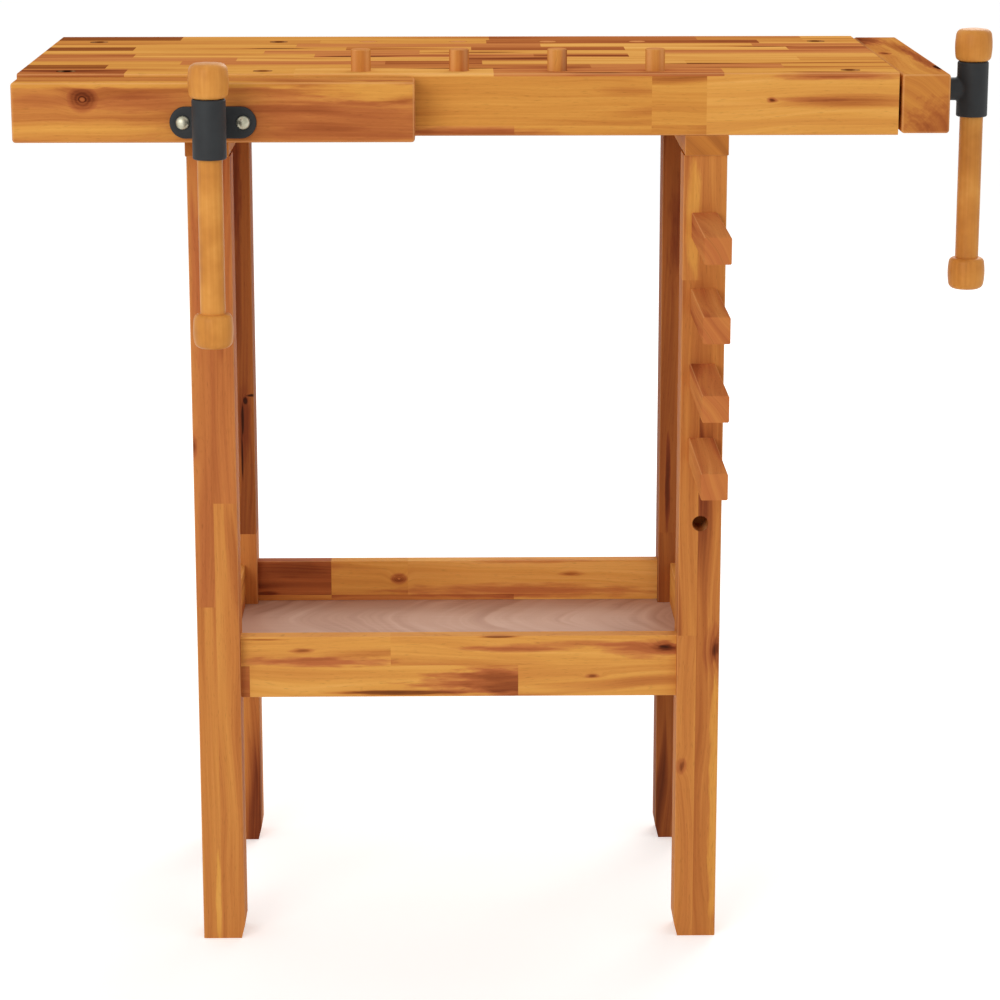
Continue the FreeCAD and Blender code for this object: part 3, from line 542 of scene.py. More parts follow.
# %% Legs and bearers
LEGS = {
    "front_left_leg": (18.0, [(0, "copper"), (330, "rose")], [(0, "copper"), (430, "rose")], [
        ("eye", (0, 0, 487), (5, 8, 14), 0.45, 3.0), ("light", (15, 0, 36), (3, 6, 50), 1.0, 0.0),
        ("stain", (6, 0, 650), (8, 8, 90), 0.3, 0.0)]),
    "front_right_leg": (18.0, [(0, "copper"), (300, "chestnut"), (640, "copper")], [(0, "chestnut")], [
        ("eye", (37, 0, 287), (7, 10, 13), 0.3, 5.0), ("stain", (36, 0, 287), (12, 10, 30), 0.45, 0.0),
        ("eye", (6, 0, 172), (6, 6, 9), 0.4, 3.0), ("light", (37, 0, 140), (6, 12, 160), 1.0, 0.0),
        ("light", (10, 0, 700), (8, 6, 60), 0.8, 0.0)]),
    "rear_left_leg": (20.0, [(0, "copper"), (300, "umber")], [(0, "copper"), (330, "umber")], [
        ("crack", (38, 0, 477), (7, 6, 1.8), 0.45, 3.0), ("crack", (31, 0, 472), (3, 6, 5), 0.4, 0.0),
        ("crack", (28, 0, 452), (1.6, 6, 20), 0.45, 0.0), ("crack", (27, 0, 412), (1.3, 6, 30), 0.4, 0.0),
        ("stain", (30, 0, 450), (8, 6, 50), 0.35, 0.0), ("stain", (25, 0, 700), (7, 8, 80), 0.5, 0.0)]),
    "rear_right_leg": (20.0, [(0, "umber"), (330, "umber")], [(0, "umber"), (420, "umber")], [
        ("stain", (9, 0, 385), (3, 6, 60), 0.75, 2.0), ("stain", (20, 0, 640), (16, 8, 70), 0.4, 0.0)]),
}
for number, (leg_name, (line, left, right, leg_marks)) in enumerate(LEGS.items()):
    board(leg_name, 31 + number, "Z", "X", [(0.0, left), (line, right)], leg_marks)
for number, bearer_name in enumerate(("left_bearer", "right_bearer")):
    board(bearer_name, 41 + number, "Y", "X", [(0.0, [(0, "walnut"), (150, "copper")])])

# %% [markdown]
# ## Rails of the tray
#
# The rails are two staves high. The front one has the richest wood below the top: two eyes with long dark
# tails, and a patch of heartwood that stops at the glue lines.

# %% Tray rails
board("tray_front_rail", 51, "X", "Z", [
    (0.0, [(0, "russet"), (8, "honey"), (263, "honey")]),
    (31.0, [(0, "honey"), (141, "honey")]),
], marks=[
    ("eye", (404, 0, 48), (15, 8, 7), 0.62, 6.0), ("stain", (385, 0, 47), (48, 10, 10), 1.1, 0.0),
    ("eye", (58, 0, 46), (14, 6, 3.2), 0.55, 3.0), ("stain", (70, 0, 35), (85, 8, 6), 1.2, 0.0),
    ("crack", (150, 0, 4), (80, 8, 3.4), 0.75, 2.0), ("heart", (262, 0, 14), (112, 12, 15), 1.0, 3.0),
    ("heart", (262, 0, 20), (60, 12, 30), 0.5, 0.0),
    ("stain", (262, 0, 47), (60, 8, 5), 0.9, 4.0), ("stain", (330, 0, 52), (60, 8, 3.5), 0.7, 0.0),
    ("eye", (335, 0, 20), (9, 6, 2.6), 0.6, 3.0), ("crack", (245, 0, 59), (25, 8, 1.5), 0.7, 0.0),
    ("crack", (20, 0, 57), (30, 8, 1.2), 0.5, 0.0)])
board("tray_rear_rail", 52, "X", "Z", [
    (0.0, [(0, "honey"), (76, "rose"), (265, "pale")]),
    (24.0, [(0, "russet"), (76, "honey"), (155, "pale")]),
], marks=[
    ("knot", (146, 0, 41), (10, 8, 7), 0.85, 6.0), ("stain", (270, 0, 28), (150, 8, 9), 1.0, 0.0),
    ("stain", (35, 0, 52), (55, 8, 12), 0.5, 0.0), ("crack", (10, 0, 26), (16, 8, 3), 0.3, 0.0),
    ("eye", (325, 0, 46), (16, 8, 3), 0.6, 3.0), ("stain", (280, 0, 59), (90, 8, 3), 0.7, 0.0)])
for number, rail_name in enumerate(("tray_left_rail", "tray_right_rail")):
    staves = [(0.0, random_stave(rng, 243, MIXED, 150)), (30.0, random_stave(rng, 243, LIGHT, 150))]
    board(rail_name, 53 + number, "Y", "Z", staves)

# %% [markdown]
# ## Jaws
#
# Each jaw is one thick piece, the finest wood on the bench. The front jaw has a ringed knot near its left
# end, and pale sapwood runs along its upper edge. The end jaw has dark streaks along its upper edges and at
# its front end.

# %% Jaws
board("front_jaw", 63, "X", "Z", [(0.0, [(0, "copper")])], shine=0.0, marks=[
    ("knot", (64, 0, 39), (15, 15, 13), 0.66, 4.0), ("stain", (118, 0, 36), (60, 12, 10), 0.45, 2.0),
    ("stain", (30, 0, 37), (40, 12, 8), 0.3, 0.0), ("stain", (290, 0, 16), (150, 60, 40), 0.45, 0.0),
    ("light", (335, 0, 45), (90, 14, 11), 1.0, 0.0), ("light", (120, 0, 53), (260, 14, 5), 1.1, 0.0),
    ("light", (60, 0, 10), (120, 14, 12), 0.4, 0.0), ("stain", (330, 10, 54), (40, 6, 2), 0.6, 0.0)])
board("end_jaw", 62, "Y", "Z", [(0.0, [(0, "amber")])], shine=0.0, marks=[
    ("stain", (12, 330, 54), (16, 60, 12), 1.0, 3.0), ("eye", (10, 194, 54), (7, 16, 8), 0.6, 4.0),
    ("stain", (36, 150, 54), (9, 120, 10), 0.8, 0.0), ("crack", (40, 61, 54), (4, 22, 5), 0.8, 0.0),
    ("stain", (44, 0, 4), (42, 90, 34), 0.55, 0.0)])

# %% [markdown]
# ## Pegs, dogs and dowels
#
# These are cut from single sticks, so each is one block. The pegs lie and the dogs stand, so the grain of a
# peg runs along Y and that of a dog along Z, and their ends show end grain by themselves.

# %% Pegs, dogs and dowels
for number in range(1, 5):
    board(f"support_peg_{number}", 70 + number, "Y", "X", [(0.0, [(0, "coral")])], shine=0.0)
for number, word in enumerate(("amber",) * 4 + ("pale", "honey", "pale", "coral"), start=1):
    board(f"bench_dog_{number}", 80 + number, "Z", "X", [(0.0, [(0, word)])], shine=0.0)
for number, (joined, grain, side) in enumerate((("apron", "Y", "X"), ("rail", "X", "Y"), ("leg", "Z", "X"))):
    board(f"{joined}_dowels", 90 + number, grain, side, [(0.0, [(0, "pale")])])

# %% [markdown]
# ## Powder-coated iron
#
# The hubs and nut plates are cast and the flanges pressed, and all are powder coated in a matt charcoal. The
# coat melts into orange peel, small soft bumps about 0.8 mm apart. They are far too shallow to show in an
# outline, so a bump does, and the mesh stays light.

# %% Iron
ORANGE_PEEL, CASTING = 0.8 * MM, 14 * MM


def coated_iron():
    """Iron under a matt charcoal powder coat: orange peel of 0.8 mm, and a tone that drifts over 14 mm."""
    material, tree = new_material("powder_coated_iron")
    place = add(tree, "TexCoord").outputs["Object"]
    peel = add(tree, "TexNoise", {"Vector": place, "Scale": 1 / ORANGE_PEEL, "Detail": 2.0})
    cast = add(tree, "TexNoise", {"Vector": place, "Scale": 1 / CASTING, "Detail": 3.0})
    shade = add(tree, "ValToRGB", {0: cast}, [(0.35, linear("1f2123")), (0.7, linear("272a2c"))])
    bump = add(tree, "Bump", {"Strength": 0.4, "Distance": 0.06 * MM, "Height": peel})
    rough = add(tree, "Math", {0: cast, 1: 0.2, 2: 0.48}, operation="MULTIPLY_ADD")
    shader = add(tree, "BsdfPrincipled", {
        "Base Color": shade, "Roughness": rough, "Normal": bump, "Specular IOR Level": 0.35})
    add(tree, "OutputMaterial", {"Surface": shader})
    return material


iron = coated_iron()
print(iron.name)

# %% [markdown]
# ## Plated and turned steel
#
# Zinc plating is a warm grey that clouds over after a while, and the screws and rods are bright turned steel
# under a film of oil. Both are metals, so their colour is the colour of their reflection. It drifts between
# two shades, because an even metal looks like plastic foil.

# %% Steel
CLOUDING = 6 * MM


def plated_steel(name, bright, dull, roughness):
    """Plated or turned steel: a metal whose colour drifts between bright and dull over about 6 mm."""
    material, tree = new_material(name)
    place = add(tree, "TexCoord").outputs["Object"]
    drift = add(tree, "TexNoise", {"Vector": place, "Scale": 1 / CLOUDING, "Detail": 4.0})
    shade = add(tree, "ValToRGB", {0: drift}, [(0.35, linear(dull)), (0.65, linear(bright))])
    rough = add(tree, "Math", {0: drift, 1: 0.15, 2: roughness}, operation="MULTIPLY_ADD")
    shader = add(tree, "BsdfPrincipled", {"Base Color": shade, "Metallic": 1.0, "Roughness": rough})
    add(tree, "OutputMaterial", {"Surface": shader})
    return material


zinc = plated_steel("zinc_plated_steel", "cfccb8", "a8a58f", 0.36)
steel = plated_steel("turned_bright_steel", "b6b8ba", "a4a6a9", 0.24)
print(zinc.name, "and", steel.name)

# %% [markdown]
# ## Moulded nylon
#
# The guide rods slide in bushes of black nylon. One dark colour would do from a distance, but a mould leaves
# a faint grain of about half a millimetre, and a bump of that size breaks up the highlight. With nylon,
# every finish that is not wood is ready, and the record's material slots say which CAD node takes which.

# %% Nylon, and the CAD nodes that are not wood
MOULD_GRAIN = 0.5 * MM


def black_nylon():
    """Moulded nylon: near black, with a faint grain of about 0.5 mm from the mould."""
    material, tree = new_material("moulded_black_nylon")
    place = add(tree, "TexCoord").outputs["Object"]
    grain = add(tree, "TexNoise", {"Vector": place, "Scale": 1 / MOULD_GRAIN, "Detail": 1.0})
    shade = add(tree, "ValToRGB", {0: grain}, [(0.3, linear("1c1d1f")), (0.7, linear("26272a"))])
    bump = add(tree, "Bump", {"Strength": 0.3, "Distance": 0.03 * MM, "Height": grain})
    shader = add(tree, "BsdfPrincipled", {"Base Color": shade, "Roughness": 0.5, "Normal": bump})
    add(tree, "OutputMaterial", {"Surface": shader})
    return material


FINISHES = {"black_iron": iron, "zinc_steel": zinc, "bare_steel": steel, "bush_plastic": black_nylon()}
for subpart in frame["record"]["subparts"]:
    if subpart["material_slot"] in FINISHES:
        dress(subpart["node"], FINISHES[subpart["material_slot"]])

# %% [markdown]
# ## Turned wood
#
# The handles are turned from plain, close-grained wood under the same oil, so they show soft blotches and
# faint streaks rather than blocks. Two noises do it: a round one for the blotches, and one drawn out along
# the bar for the streaks.

# %% Wood of the handles
STREAK_WIDTH, STREAK_LENGTH, BLOTCH = 3 * MM, 120 * MM, 34 * MM


def turned_wood():
    """Close-grained wood turned on a lathe. Lightness is 0.66 * blotch + 0.24 * streak + 0.05."""
    material, tree = new_material("turned_oiled_wood")
    place = add(tree, "TexCoord").outputs["Object"]
    stretched = add(tree, "Mapping", {
        "Vector": place, "Scale": (1 / STREAK_WIDTH, 1 / STREAK_WIDTH, 1 / STREAK_LENGTH)})
    streak = add(tree, "TexNoise", {"Vector": stretched, "Scale": 1.0, "Detail": 3.0})
    blotch = add(tree, "TexNoise", {"Vector": place, "Scale": 1 / BLOTCH, "Detail": 3.0})
    value = add(tree, "Math", {0: streak, 1: 0.24, 2: 0.05}, operation="MULTIPLY_ADD")
    value = add(tree, "Math", {0: blotch, 1: 0.66, 2: value}, operation="MULTIPLY_ADD")
    shade = add(tree, "ValToRGB", {0: value}, [
        (0.30, linear("b97432")), (0.45, linear("cc863a")),
        (0.58, linear("d99444")), (0.75, linear("e6a858"))])
    bump = add(tree, "Bump", {"Strength": 0.2, "Distance": 0.08 * MM, "Height": streak})
    rough = add(tree, "Math", {0: blotch, 1: 0.2, 2: 0.34}, operation="MULTIPLY_ADD")
    shader = add(tree, "BsdfPrincipled", {
        "Base Color": shade, "Roughness": rough, "Normal": bump,
        "IOR": WOOD_IOR, "Specular IOR Level": 0.18})
    add(tree, "OutputMaterial", {"Surface": shader})
    return material


turned = turned_wood()
print(turned.name)

# %% [markdown]
# ## Plywood
#
# The shelf is rotary-cut plywood: the peeling knife passes through the growth rings at a flat angle, which
# draws wide nested arches. Their middle line lies along the sheet. Straight noise would give stripes, so the
# arches are worked out as a curve, bent by a slow wobble and faded in and out as real ones are.

# %% Arches of the veneer
ARCH_SLOPE, ARCH_TIP = 0.8, 20.0        # how wide the arches open, and mm over which their tip is round
WOBBLE = 90.0                           # mm over which the wobble changes
BEND, PUSH = 50.0, 24.0                 # mm that it moves the arches across and along the sheet
RING_STEP = 21.0                        # mm from ring to ring


def arches(tree, local):
    """x - 0.8 * root(y^2 + 20^2), in mm from a point in the sheet, is the same all along one ring, which
    draws nested arches that open to the right. Rings come from noise of that number alone."""
    wobble = add(tree, "TexNoise", {"Vector": local, "Scale": 1 / WOBBLE, "Detail": 2.0})
    sideways, forth, _ = add(tree, "SeparateColor", {0: wobble.outputs["Color"]}).outputs
    parts = add(tree, "SeparateXYZ", {0: local})
    y_bent = add(tree, "Math", {0: forth, 1: BEND, 2: -BEND / 2}, operation="MULTIPLY_ADD")
    y_bent = add(tree, "Math", {0: y_bent, 1: parts.outputs[1]}, operation="ADD")
    arch = add(tree, "CombineXYZ", {0: y_bent, 1: ARCH_TIP})
    arch = add(tree, "VectorMath", {0: arch}, operation="LENGTH").outputs["Value"]
    ring = add(tree, "Math", {0: arch, 1: -ARCH_SLOPE, 2: parts.outputs[0]}, operation="MULTIPLY_ADD")
    ring = add(tree, "Math", {0: sideways, 1: PUSH, 2: ring}, operation="MULTIPLY_ADD")
    turn = add(tree, "Math", {0: ring, 1: 1 / RING_STEP}, operation="MULTIPLY")
    return add(tree, "TexNoise", {"W": turn, "Scale": 1.0, "Detail": 4.0}, noise_dimensions="1D")


print("rings are", RING_STEP, "mm apart along the middle line")

# %% [markdown]
# ## The sheet itself
#
# The arches fade in and out by patches, slow clouds make some of the veneer paler, and fine fibres run along
# the sheet. The surface is bare and matt, so it has hardly any shine.

# %% Plywood of the shelf
ARCH_MIDDLE = (0.55, 0.73)              # of the sheet's length and depth
CLOUD, PATCH = 110.0, 70.0              # mm over which the clouds and patches change
FIBRE_LENGTH, FIBRE_WIDTH = 60.0, 1.2


def plywood():
    """Rotary-cut veneer: arches that fade in and out by patches, pale clouds, and fibres 1.2 mm wide."""
    material, tree = new_material("rotary_cut_plywood")
    low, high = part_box("tray_panel")
    middle = [-(low[i] + share * (high[i] - low[i])) / MM for i, share in enumerate(ARCH_MIDDLE)] + [0.0]
    coords = add(tree, "TexCoord")
    local = add(tree, "Mapping", {"Vector": coords.outputs["Object"], "Scale": (1 / MM,) * 3,
                                  "Location": middle})
    rings = add(tree, "Math", {0: arches(tree, local), 1: 0.5}, operation="SUBTRACT")
    cloud = add(tree, "TexNoise", {"Vector": local, "Scale": 1 / CLOUD, "Detail": 1.0})
    patch = add(tree, "TexNoise", {"Vector": local, "Scale": 1 / PATCH, "Detail": 0.0})
    patch = add(tree, "MapRange", {"Value": patch, 1: 0.38, 2: 0.62, 3: 0.15, 4: 0.75})
    fibre_place = add(tree, "Mapping", {"Vector": local, "Scale": (1 / FIBRE_LENGTH, 1 / FIBRE_WIDTH, 1.0)})
    fibre = add(tree, "TexNoise", {"Vector": fibre_place, "Scale": 1.0, "Detail": 2.0})
    value = add(tree, "Math", {0: fibre, 1: 0.22, 2: 0.2}, operation="MULTIPLY_ADD")
    value = add(tree, "Math", {0: rings, 1: patch, 2: value}, operation="MULTIPLY_ADD")
    value = add(tree, "Math", {0: cloud, 1: 0.38, 2: value}, operation="MULTIPLY_ADD")
    shade = add(tree, "ValToRGB", {0: value}, [
        (0.34, linear("b68f7a")), (0.5, linear("c8a38d")), (0.64, linear("d3b29d"))])
    bump = add(tree, "Bump", {"Strength": 0.2, "Distance": 0.05 * MM, "Height": fibre})
    shader = add(tree, "BsdfPrincipled", {
        "Base Color": shade, "Roughness": 0.6, "Normal": bump, "Specular IOR Level": 0.2})
    add(tree, "OutputMaterial", {"Surface": shader})
    return material


dress("tray_panel", plywood())

# %% [markdown]
# ## A mesh from a grid of points
#
# Every new shape below is a surface: a grid of points worked out as whole arrays, closed across its columns
# as a turned shape is. One function joins grids into a mesh. A row that lies on the axis shrinks to a point,
# and merging doubled points closes the pole.

# %% Faces of a grid
def grid_faces(rows, columns):
    """Four corners of each cell, as whole arrays: (r, c), (r, c + 1), (r + 1, c + 1), (r + 1, c), where the
    column after the last is the first."""
    r, c = np.meshgrid(np.arange(rows - 1), np.arange(columns), indexing="ij")
    following = (c + 1) % columns
    return np.stack([r * columns + c, r * columns + following,
                     (r + 1) * columns + following, (r + 1) * columns + c], axis=-1).reshape(-1, 4)


print("a grid of 3 rows and 4 columns has", len(grid_faces(3, 4)), "faces")

# %% From grids to a piece of the bench
DOUBLED, FLAT = 0.002 * MM, 0.001 * MM  # points this close are merged, and edges this short taken away


def make_piece(name, grids, material, body, replaced, sharp=38.0):
    """Joins closed grids, in metres, into one piece that rides on a body and stands for CAD nodes. An edge
    that bends by more than sharp degrees stays crisp."""
    points, faces, count = [], [], 0
    for grid in grids:
        rows, columns = grid.shape[:2]
        points.append(grid.reshape(-1, 3))
        faces.append(grid_faces(rows, columns) + count)
        count += rows * columns
    mesh = bpy.data.meshes.new(name)
    mesh.from_pydata(np.concatenate(points).tolist(), [], np.concatenate(faces).tolist())
    work = bmesh.new()
    work.from_mesh(mesh)
    bmesh.ops.remove_doubles(work, verts=work.verts, dist=DOUBLED)
    bmesh.ops.dissolve_degenerate(work, dist=FLAT, edges=work.edges)
    bmesh.ops.recalc_face_normals(work, faces=work.faces)
    work.to_mesh(mesh)
    work.free()
    mesh.polygons.foreach_set("use_smooth", np.ones(len(mesh.polygons), bool))
    mesh.set_sharp_from_angle(angle=math.radians(sharp))
    piece = bpy.data.objects.new(name, mesh)
    bpy.context.scene.collection.objects.link(piece)
    piece.data.materials.append(material)
    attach(piece, body)
    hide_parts(*replaced)
    print(f"{name}: {len(mesh.polygons)} faces")


print("points are merged within", round(DOUBLED / MM, 3), "mm")

# %% [markdown]
# ## Turning
#
# Handles, sockets, bolts and screws are all turned shapes: a profile of radius and height that goes round an
# axis. Blender can spin a curve, but a formula gives the whole grid at once, and any axis will do.

# %% Arcs and turned surfaces
def arc(centre, radius, start, stop, count=7):
    """Points of an arc in the plane of radius and height, from one angle to another in degrees:
    centre + radius * (cos a, sin a)."""
    angle = np.radians(np.linspace(start, stop, count))
    return np.stack([centre[0] + radius * np.cos(angle), centre[1] + radius * np.sin(angle)], axis=-1)


def turn_profile(profile, base, axis, side, columns=64):
    """A turned surface: each profile point (radius, height) goes round the axis:
    base + height * axis + radius * (cos a * side + sin a * (axis x side)). The profile is in mm, and the
    base and the surface are in metres."""
    profile = np.asarray(profile, float)
    axis, side = np.asarray(axis, float), np.asarray(side, float)
    angle = np.linspace(0, 2 * math.pi, columns, endpoint=False)
    ring = np.outer(np.cos(angle), side) + np.outer(np.sin(angle), np.cross(axis, side))
    points = profile[:, None, 1:2] * axis + profile[:, None, 0:1] * ring[None]
    return np.asarray(base) + points * MM


print("an arc ends at", arc((0, 0), 1, 0, 90)[-1].round(3), "after a quarter turn")

# %% [markdown]
# ## Where the vises are
#
# Both vises are the same, and only face different ways. Each gets its own three directions: out of the
# bench, along the jaw, and up. The base is the point where the screw's axis leaves the bench, read from the
# frame, so all of the following shapes are written once, in millimetres from it.

# %% Directions and measures of each vise
VISES = {
    "front": {"out": (0, -1, 0), "along": (1, 0, 0), "carrier": "front_dog_beam"},
    "end": {"out": (1, 0, 0), "along": (0, 1, 0), "carrier": "right_end_apron"},
}
for name, vise in VISES.items():
    vise["turn"] = np.array([vise["out"], vise["along"], (0, 0, 1)], float)
    low, high = (np.array(corner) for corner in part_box(f"{name}_screw"))
    carrier = np.array(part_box(vise["carrier"]))
    out = vise["turn"][0]
    middle = (low + high) / 2
    vise["base"] = middle + (max(carrier @ out) - middle @ out) * out


def span(name, node):
    """The lowest and highest corner of a node in its vise's own directions, in mm from the base."""
    vise = VISES[name]
    corners = (np.array(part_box(f"{name}_{node}")) - vise["base"]) @ vise["turn"].T / MM
    return corners.min(0), corners.max(0)


def placed(name, points):
    """Points in a vise's own directions, in mm from its base, as places in metres."""
    return VISES[name]["base"] + np.asarray(points, float) @ VISES[name]["turn"] * MM


for name in VISES:
    print(name, "hub from", span(name, "hub")[0].round(2), "to", span(name, "hub")[1].round(2))

# %% [markdown]
# ## Turned handles
#
# A handle is a bar with a squat knob on each end. A cylinder with a Bevel modifier would come close to a
# knob, but a lathe follows a profile, and a profile gives each part its own size: a flat ring that meets the
# hub, a small rounding, a barely swelling side, a larger rounding and a slightly domed end.

# %% The profile of a knob
RING_DEPTH = 0.6                        # mm by which the ring's middle is set back


def knob_profile(radius, height, bore, inner_round, outer_round, dome, swell):
    """From the bar's surface outwards and over the dome to the axis. The side swells as a parabola:
    radius - swell * t^2, with t from -1 to 1 up the side. The dome falls by dome * (r / its radius)^2."""
    side = radius - swell
    up = np.linspace(-1, 1, 13)
    low, high = inner_round, height - dome - outer_round
    barrel = np.stack([side + swell * (1 - up ** 2), low + (up + 1) / 2 * (high - low)], axis=-1)
    reach = np.linspace(side - outer_round, 0, 7)[1:]
    cap = np.stack([reach, height - dome * (reach / (side - outer_round)) ** 2], axis=-1)
    return np.concatenate([
        [(0.0, RING_DEPTH), (bore, RING_DEPTH), (bore, 0.0)],
        arc((side - inner_round, inner_round), inner_round, -90, 0)[:-1], barrel[:-1],
        arc((side - outer_round, high), outer_round, 0, 90)[:-1], cap])


print("a knob's profile has", len(knob_profile(18, 31.5, 11, 5.0, 6.5, 0.7, 0.7)), "points")

# %% [markdown]
# ## Bars and knobs in place
#
# The bar is a plain cylinder with small chamfers. Both knobs have the same profile, which the upper one
# carries up from the hub's side and the lower one down.

# %% Handles
CHAMFER = 1.0
KNOB_SKIN = 0.02                        # mm that a knob keeps inside its CAD node
for name in VISES:
    low, high = (np.array(corner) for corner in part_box(f"{name}_handle_bar"))
    radius = (high - low)[0] / 2 / MM
    length = (high - low)[2] / MM
    base = np.array([(low[0] + high[0]) / 2, (low[1] + high[1]) / 2, low[2]])
    bar = [(0, 0), (radius - CHAMFER, 0), (radius, CHAMFER), (radius, length / 2),
           (radius, length - CHAMFER), (radius - CHAMFER, length), (0, length)]
    make_piece(f"{name}_turned_bar", [turn_profile(bar, base, (0, 0, 1), (1, 0, 0))], turned,
               f"{name}_handle", [f"{name}_handle_bar"])
    for knob, way in (("upper_knob", 1), ("lower_knob", -1)):
        knob_low, knob_high = (np.array(corner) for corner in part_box(f"{name}_{knob}"))
        wide, _, tall = (knob_high - knob_low) / MM
        profile = knob_profile(wide / 2 - KNOB_SKIN, tall, radius, inner_round=5.0, outer_round=6.5,
                               dome=0.7, swell=0.7)
        start = np.array([base[0], base[1], knob_low[2] if way > 0 else knob_high[2]])
        make_piece(f"{name}_turned_{knob}", [turn_profile(profile, start, (0, 0, way), (1, 0, 0))], turned,
                   f"{name}_handle", [f"{name}_{knob}"])

# %% [markdown]
# ## Screws with a real thread
#
# A vise screw has a trapezoid thread, 6 mm from crest to crest, right-handed. A texture could draw it, but
# the light on its flanks and its toothed outline come only from a shape. The surface is a grid of angle and
# length: at each point the turns climbed, less the turn of the angle, give the place within one pitch, and a
# trapezoid of that place gives the radius.

# %% Threaded screws
THREAD_PITCH = 6.0
THREAD_DEPTH = 1.6
THREAD_STEP, THREAD_COLUMNS = 0.5, 48   # mm between the grid's rows, and points round a row
THREAD_FADE = 4.0                       # mm over which the thread runs out before the thrust collar
TIP, EDGE = 1.5, 0.5                    # mm of plain tip before the thread, and the chamfer of the far end


def trapezoid(phase):
    """1 on the crest, 0 in the root, with flanks a sixth of a pitch wide: 6 * (distance from the middle of
    the root) - 1, held between 0 and 1, where the distance runs from 0 to 0.5 pitches."""
    distance = np.abs((phase + 0.5) % 1.0 - 0.5)
    return np.clip(6 * distance - 1.0, 0, 1)


def threaded_screw(name):
    """Radius = the screw's, less the thread's depth * (1 - trapezoid(turns)) * the fade."""
    low, high = span(name, "screw")
    radius = (high - low)[1] / 2
    thread_end = span(name, "thrust_collar")[0][0] - 1.0
    heights = np.arange(low[0] + TIP, thread_end, THREAD_STEP)
    angle = np.linspace(0, 2 * math.pi, THREAD_COLUMNS, endpoint=False)
    turns = heights[:, None] / THREAD_PITCH - angle[None] / (2 * math.pi)
    fade = np.clip((thread_end - heights) / THREAD_FADE, 0, 1)[:, None]
    thread = radius - THREAD_DEPTH * (1 - trapezoid(turns)) * fade
    tip = [(0.0, low[0]), (radius - THREAD_DEPTH - 0.3, low[0])]
    tail = [(radius, thread_end + 0.2), (radius, high[0] - EDGE), (radius - EDGE, high[0]), (0.0, high[0])]
    heights = np.concatenate([[h for _, h in tip], heights, [h for _, h in tail]])
    r = np.concatenate([np.repeat([[value] for value, _ in tip], THREAD_COLUMNS, 1), thread,
                        np.repeat([[value] for value, _ in tail], THREAD_COLUMNS, 1)])
    heights = np.repeat(heights[:, None], THREAD_COLUMNS, 1)
    grid = placed(name, np.stack([heights, r * np.cos(angle), r * np.sin(angle)], axis=-1))
    make_piece(f"{name}_threaded_screw", [grid], steel, f"{name}_screw_set", [f"{name}_screw"])


for name in VISES:
    threaded_screw(name)

# %% [markdown]
# ## Cast hubs
#
# The hub is an iron T: an upright socket for the handle on a short neck. A casting has no sharp inside
# corner, so the neck flows into the socket. A boolean and a bevel could join the two, but the faces where
# they meet come out ragged. So the fillet is worked out: round the neck, at angle a, it is a curve with
# three control points, one on the neck, one on the line where the bare cylinders would meet, and one on the
# socket.

# %% The upright socket
HANDLE_CLEARANCE = 0.4                  # mm between the handle and its bore, all round
BORE_ROUND, SOCKET_ROUND = 0.8, 1.6     # radii of the rim's inner and outer edge


def socket_grid(name, bore):
    """The upright socket: an outer wall, a rounded rim at each end and the bore, as one closed turn."""
    low, high = span(name, "hub")
    radius = (high - low)[1] / 2
    top, inner, outer = high[2], bore + BORE_ROUND, radius - SOCKET_ROUND
    profile = np.concatenate([
        arc((inner, -top + BORE_ROUND), BORE_ROUND, 180, 270, 4),
        arc((outer, -top + SOCKET_ROUND), SOCKET_ROUND, 270, 360, 6),
        arc((outer, top - SOCKET_ROUND), SOCKET_ROUND, 0, 90, 6),
        arc((inner, top - BORE_ROUND), BORE_ROUND, 90, 180, 4)])
    profile = np.concatenate([profile, profile[:1]])
    base = placed(name, (high[0] - radius, 0, 0))
    return turn_profile(profile, base, (0, 0, 1), VISES[name]["turn"][1], 72)


print("sockets are", [round(float(span(name, "hub")[1][2]) * 2, 1) for name in VISES], "mm tall")

# %% The neck and its fillet, and the finished hubs
NECK_DIAMETER = 22.0
NECK_EDGE = 0.6                         # chamfer at the flange


def neck_grid(name, fillet=2.2, wall_middle=13.3, columns=64):
    """The neck, from a closed face at the flange, through the fillet, to a patch sunk in the socket's wall.
    The socket's surface stands root(R^2 - y^2) before its axis, with y along the jaw. The fillet is
    (1 - t)^2 * start + 2 t (1 - t) * meet + t^2 * finish."""
    low, high = span(name, "hub")
    socket_radius = (high - low)[1] / 2
    axis_x = high[0] - socket_radius
    neck = NECK_DIAMETER / 2
    a = np.linspace(0, 2 * math.pi, columns, endpoint=False)
    c, s = np.cos(a), np.sin(a)

    def on_socket(r, radius):
        return np.stack([axis_x - np.sqrt(radius ** 2 - (r * c) ** 2), r * c, r * s], axis=-1)

    meet = on_socket(neck, socket_radius)
    start = meet - np.array([fillet, 0, 0])
    finish = on_socket(neck + fillet, socket_radius)
    t = np.linspace(0, 1, 9)[:, None, None]
    curve = (1 - t) ** 2 * start + 2 * t * (1 - t) * meet + t ** 2 * finish
    face = np.stack([np.full(columns, low[0]), c, s], axis=-1)
    rim = neck - NECK_EDGE
    rows = [face * (1, 0, 0), face * (1, rim, rim), face * (1, neck, neck) + (NECK_EDGE, 0, 0)]
    patch = [on_socket((neck + fillet) * share, wall_middle) for share in np.linspace(0.9, 0, 8)]
    return placed(name, np.concatenate([rows, curve, patch]))


for name in VISES:
    bar_low, bar_high = span(name, "handle_bar")
    bore = (bar_high - bar_low)[1] / 2 + HANDLE_CLEARANCE
    make_piece(f"{name}_cast_hub", [socket_grid(name, bore), neck_grid(name)], iron,
               f"{name}_screw_set", [f"{name}_hub"])

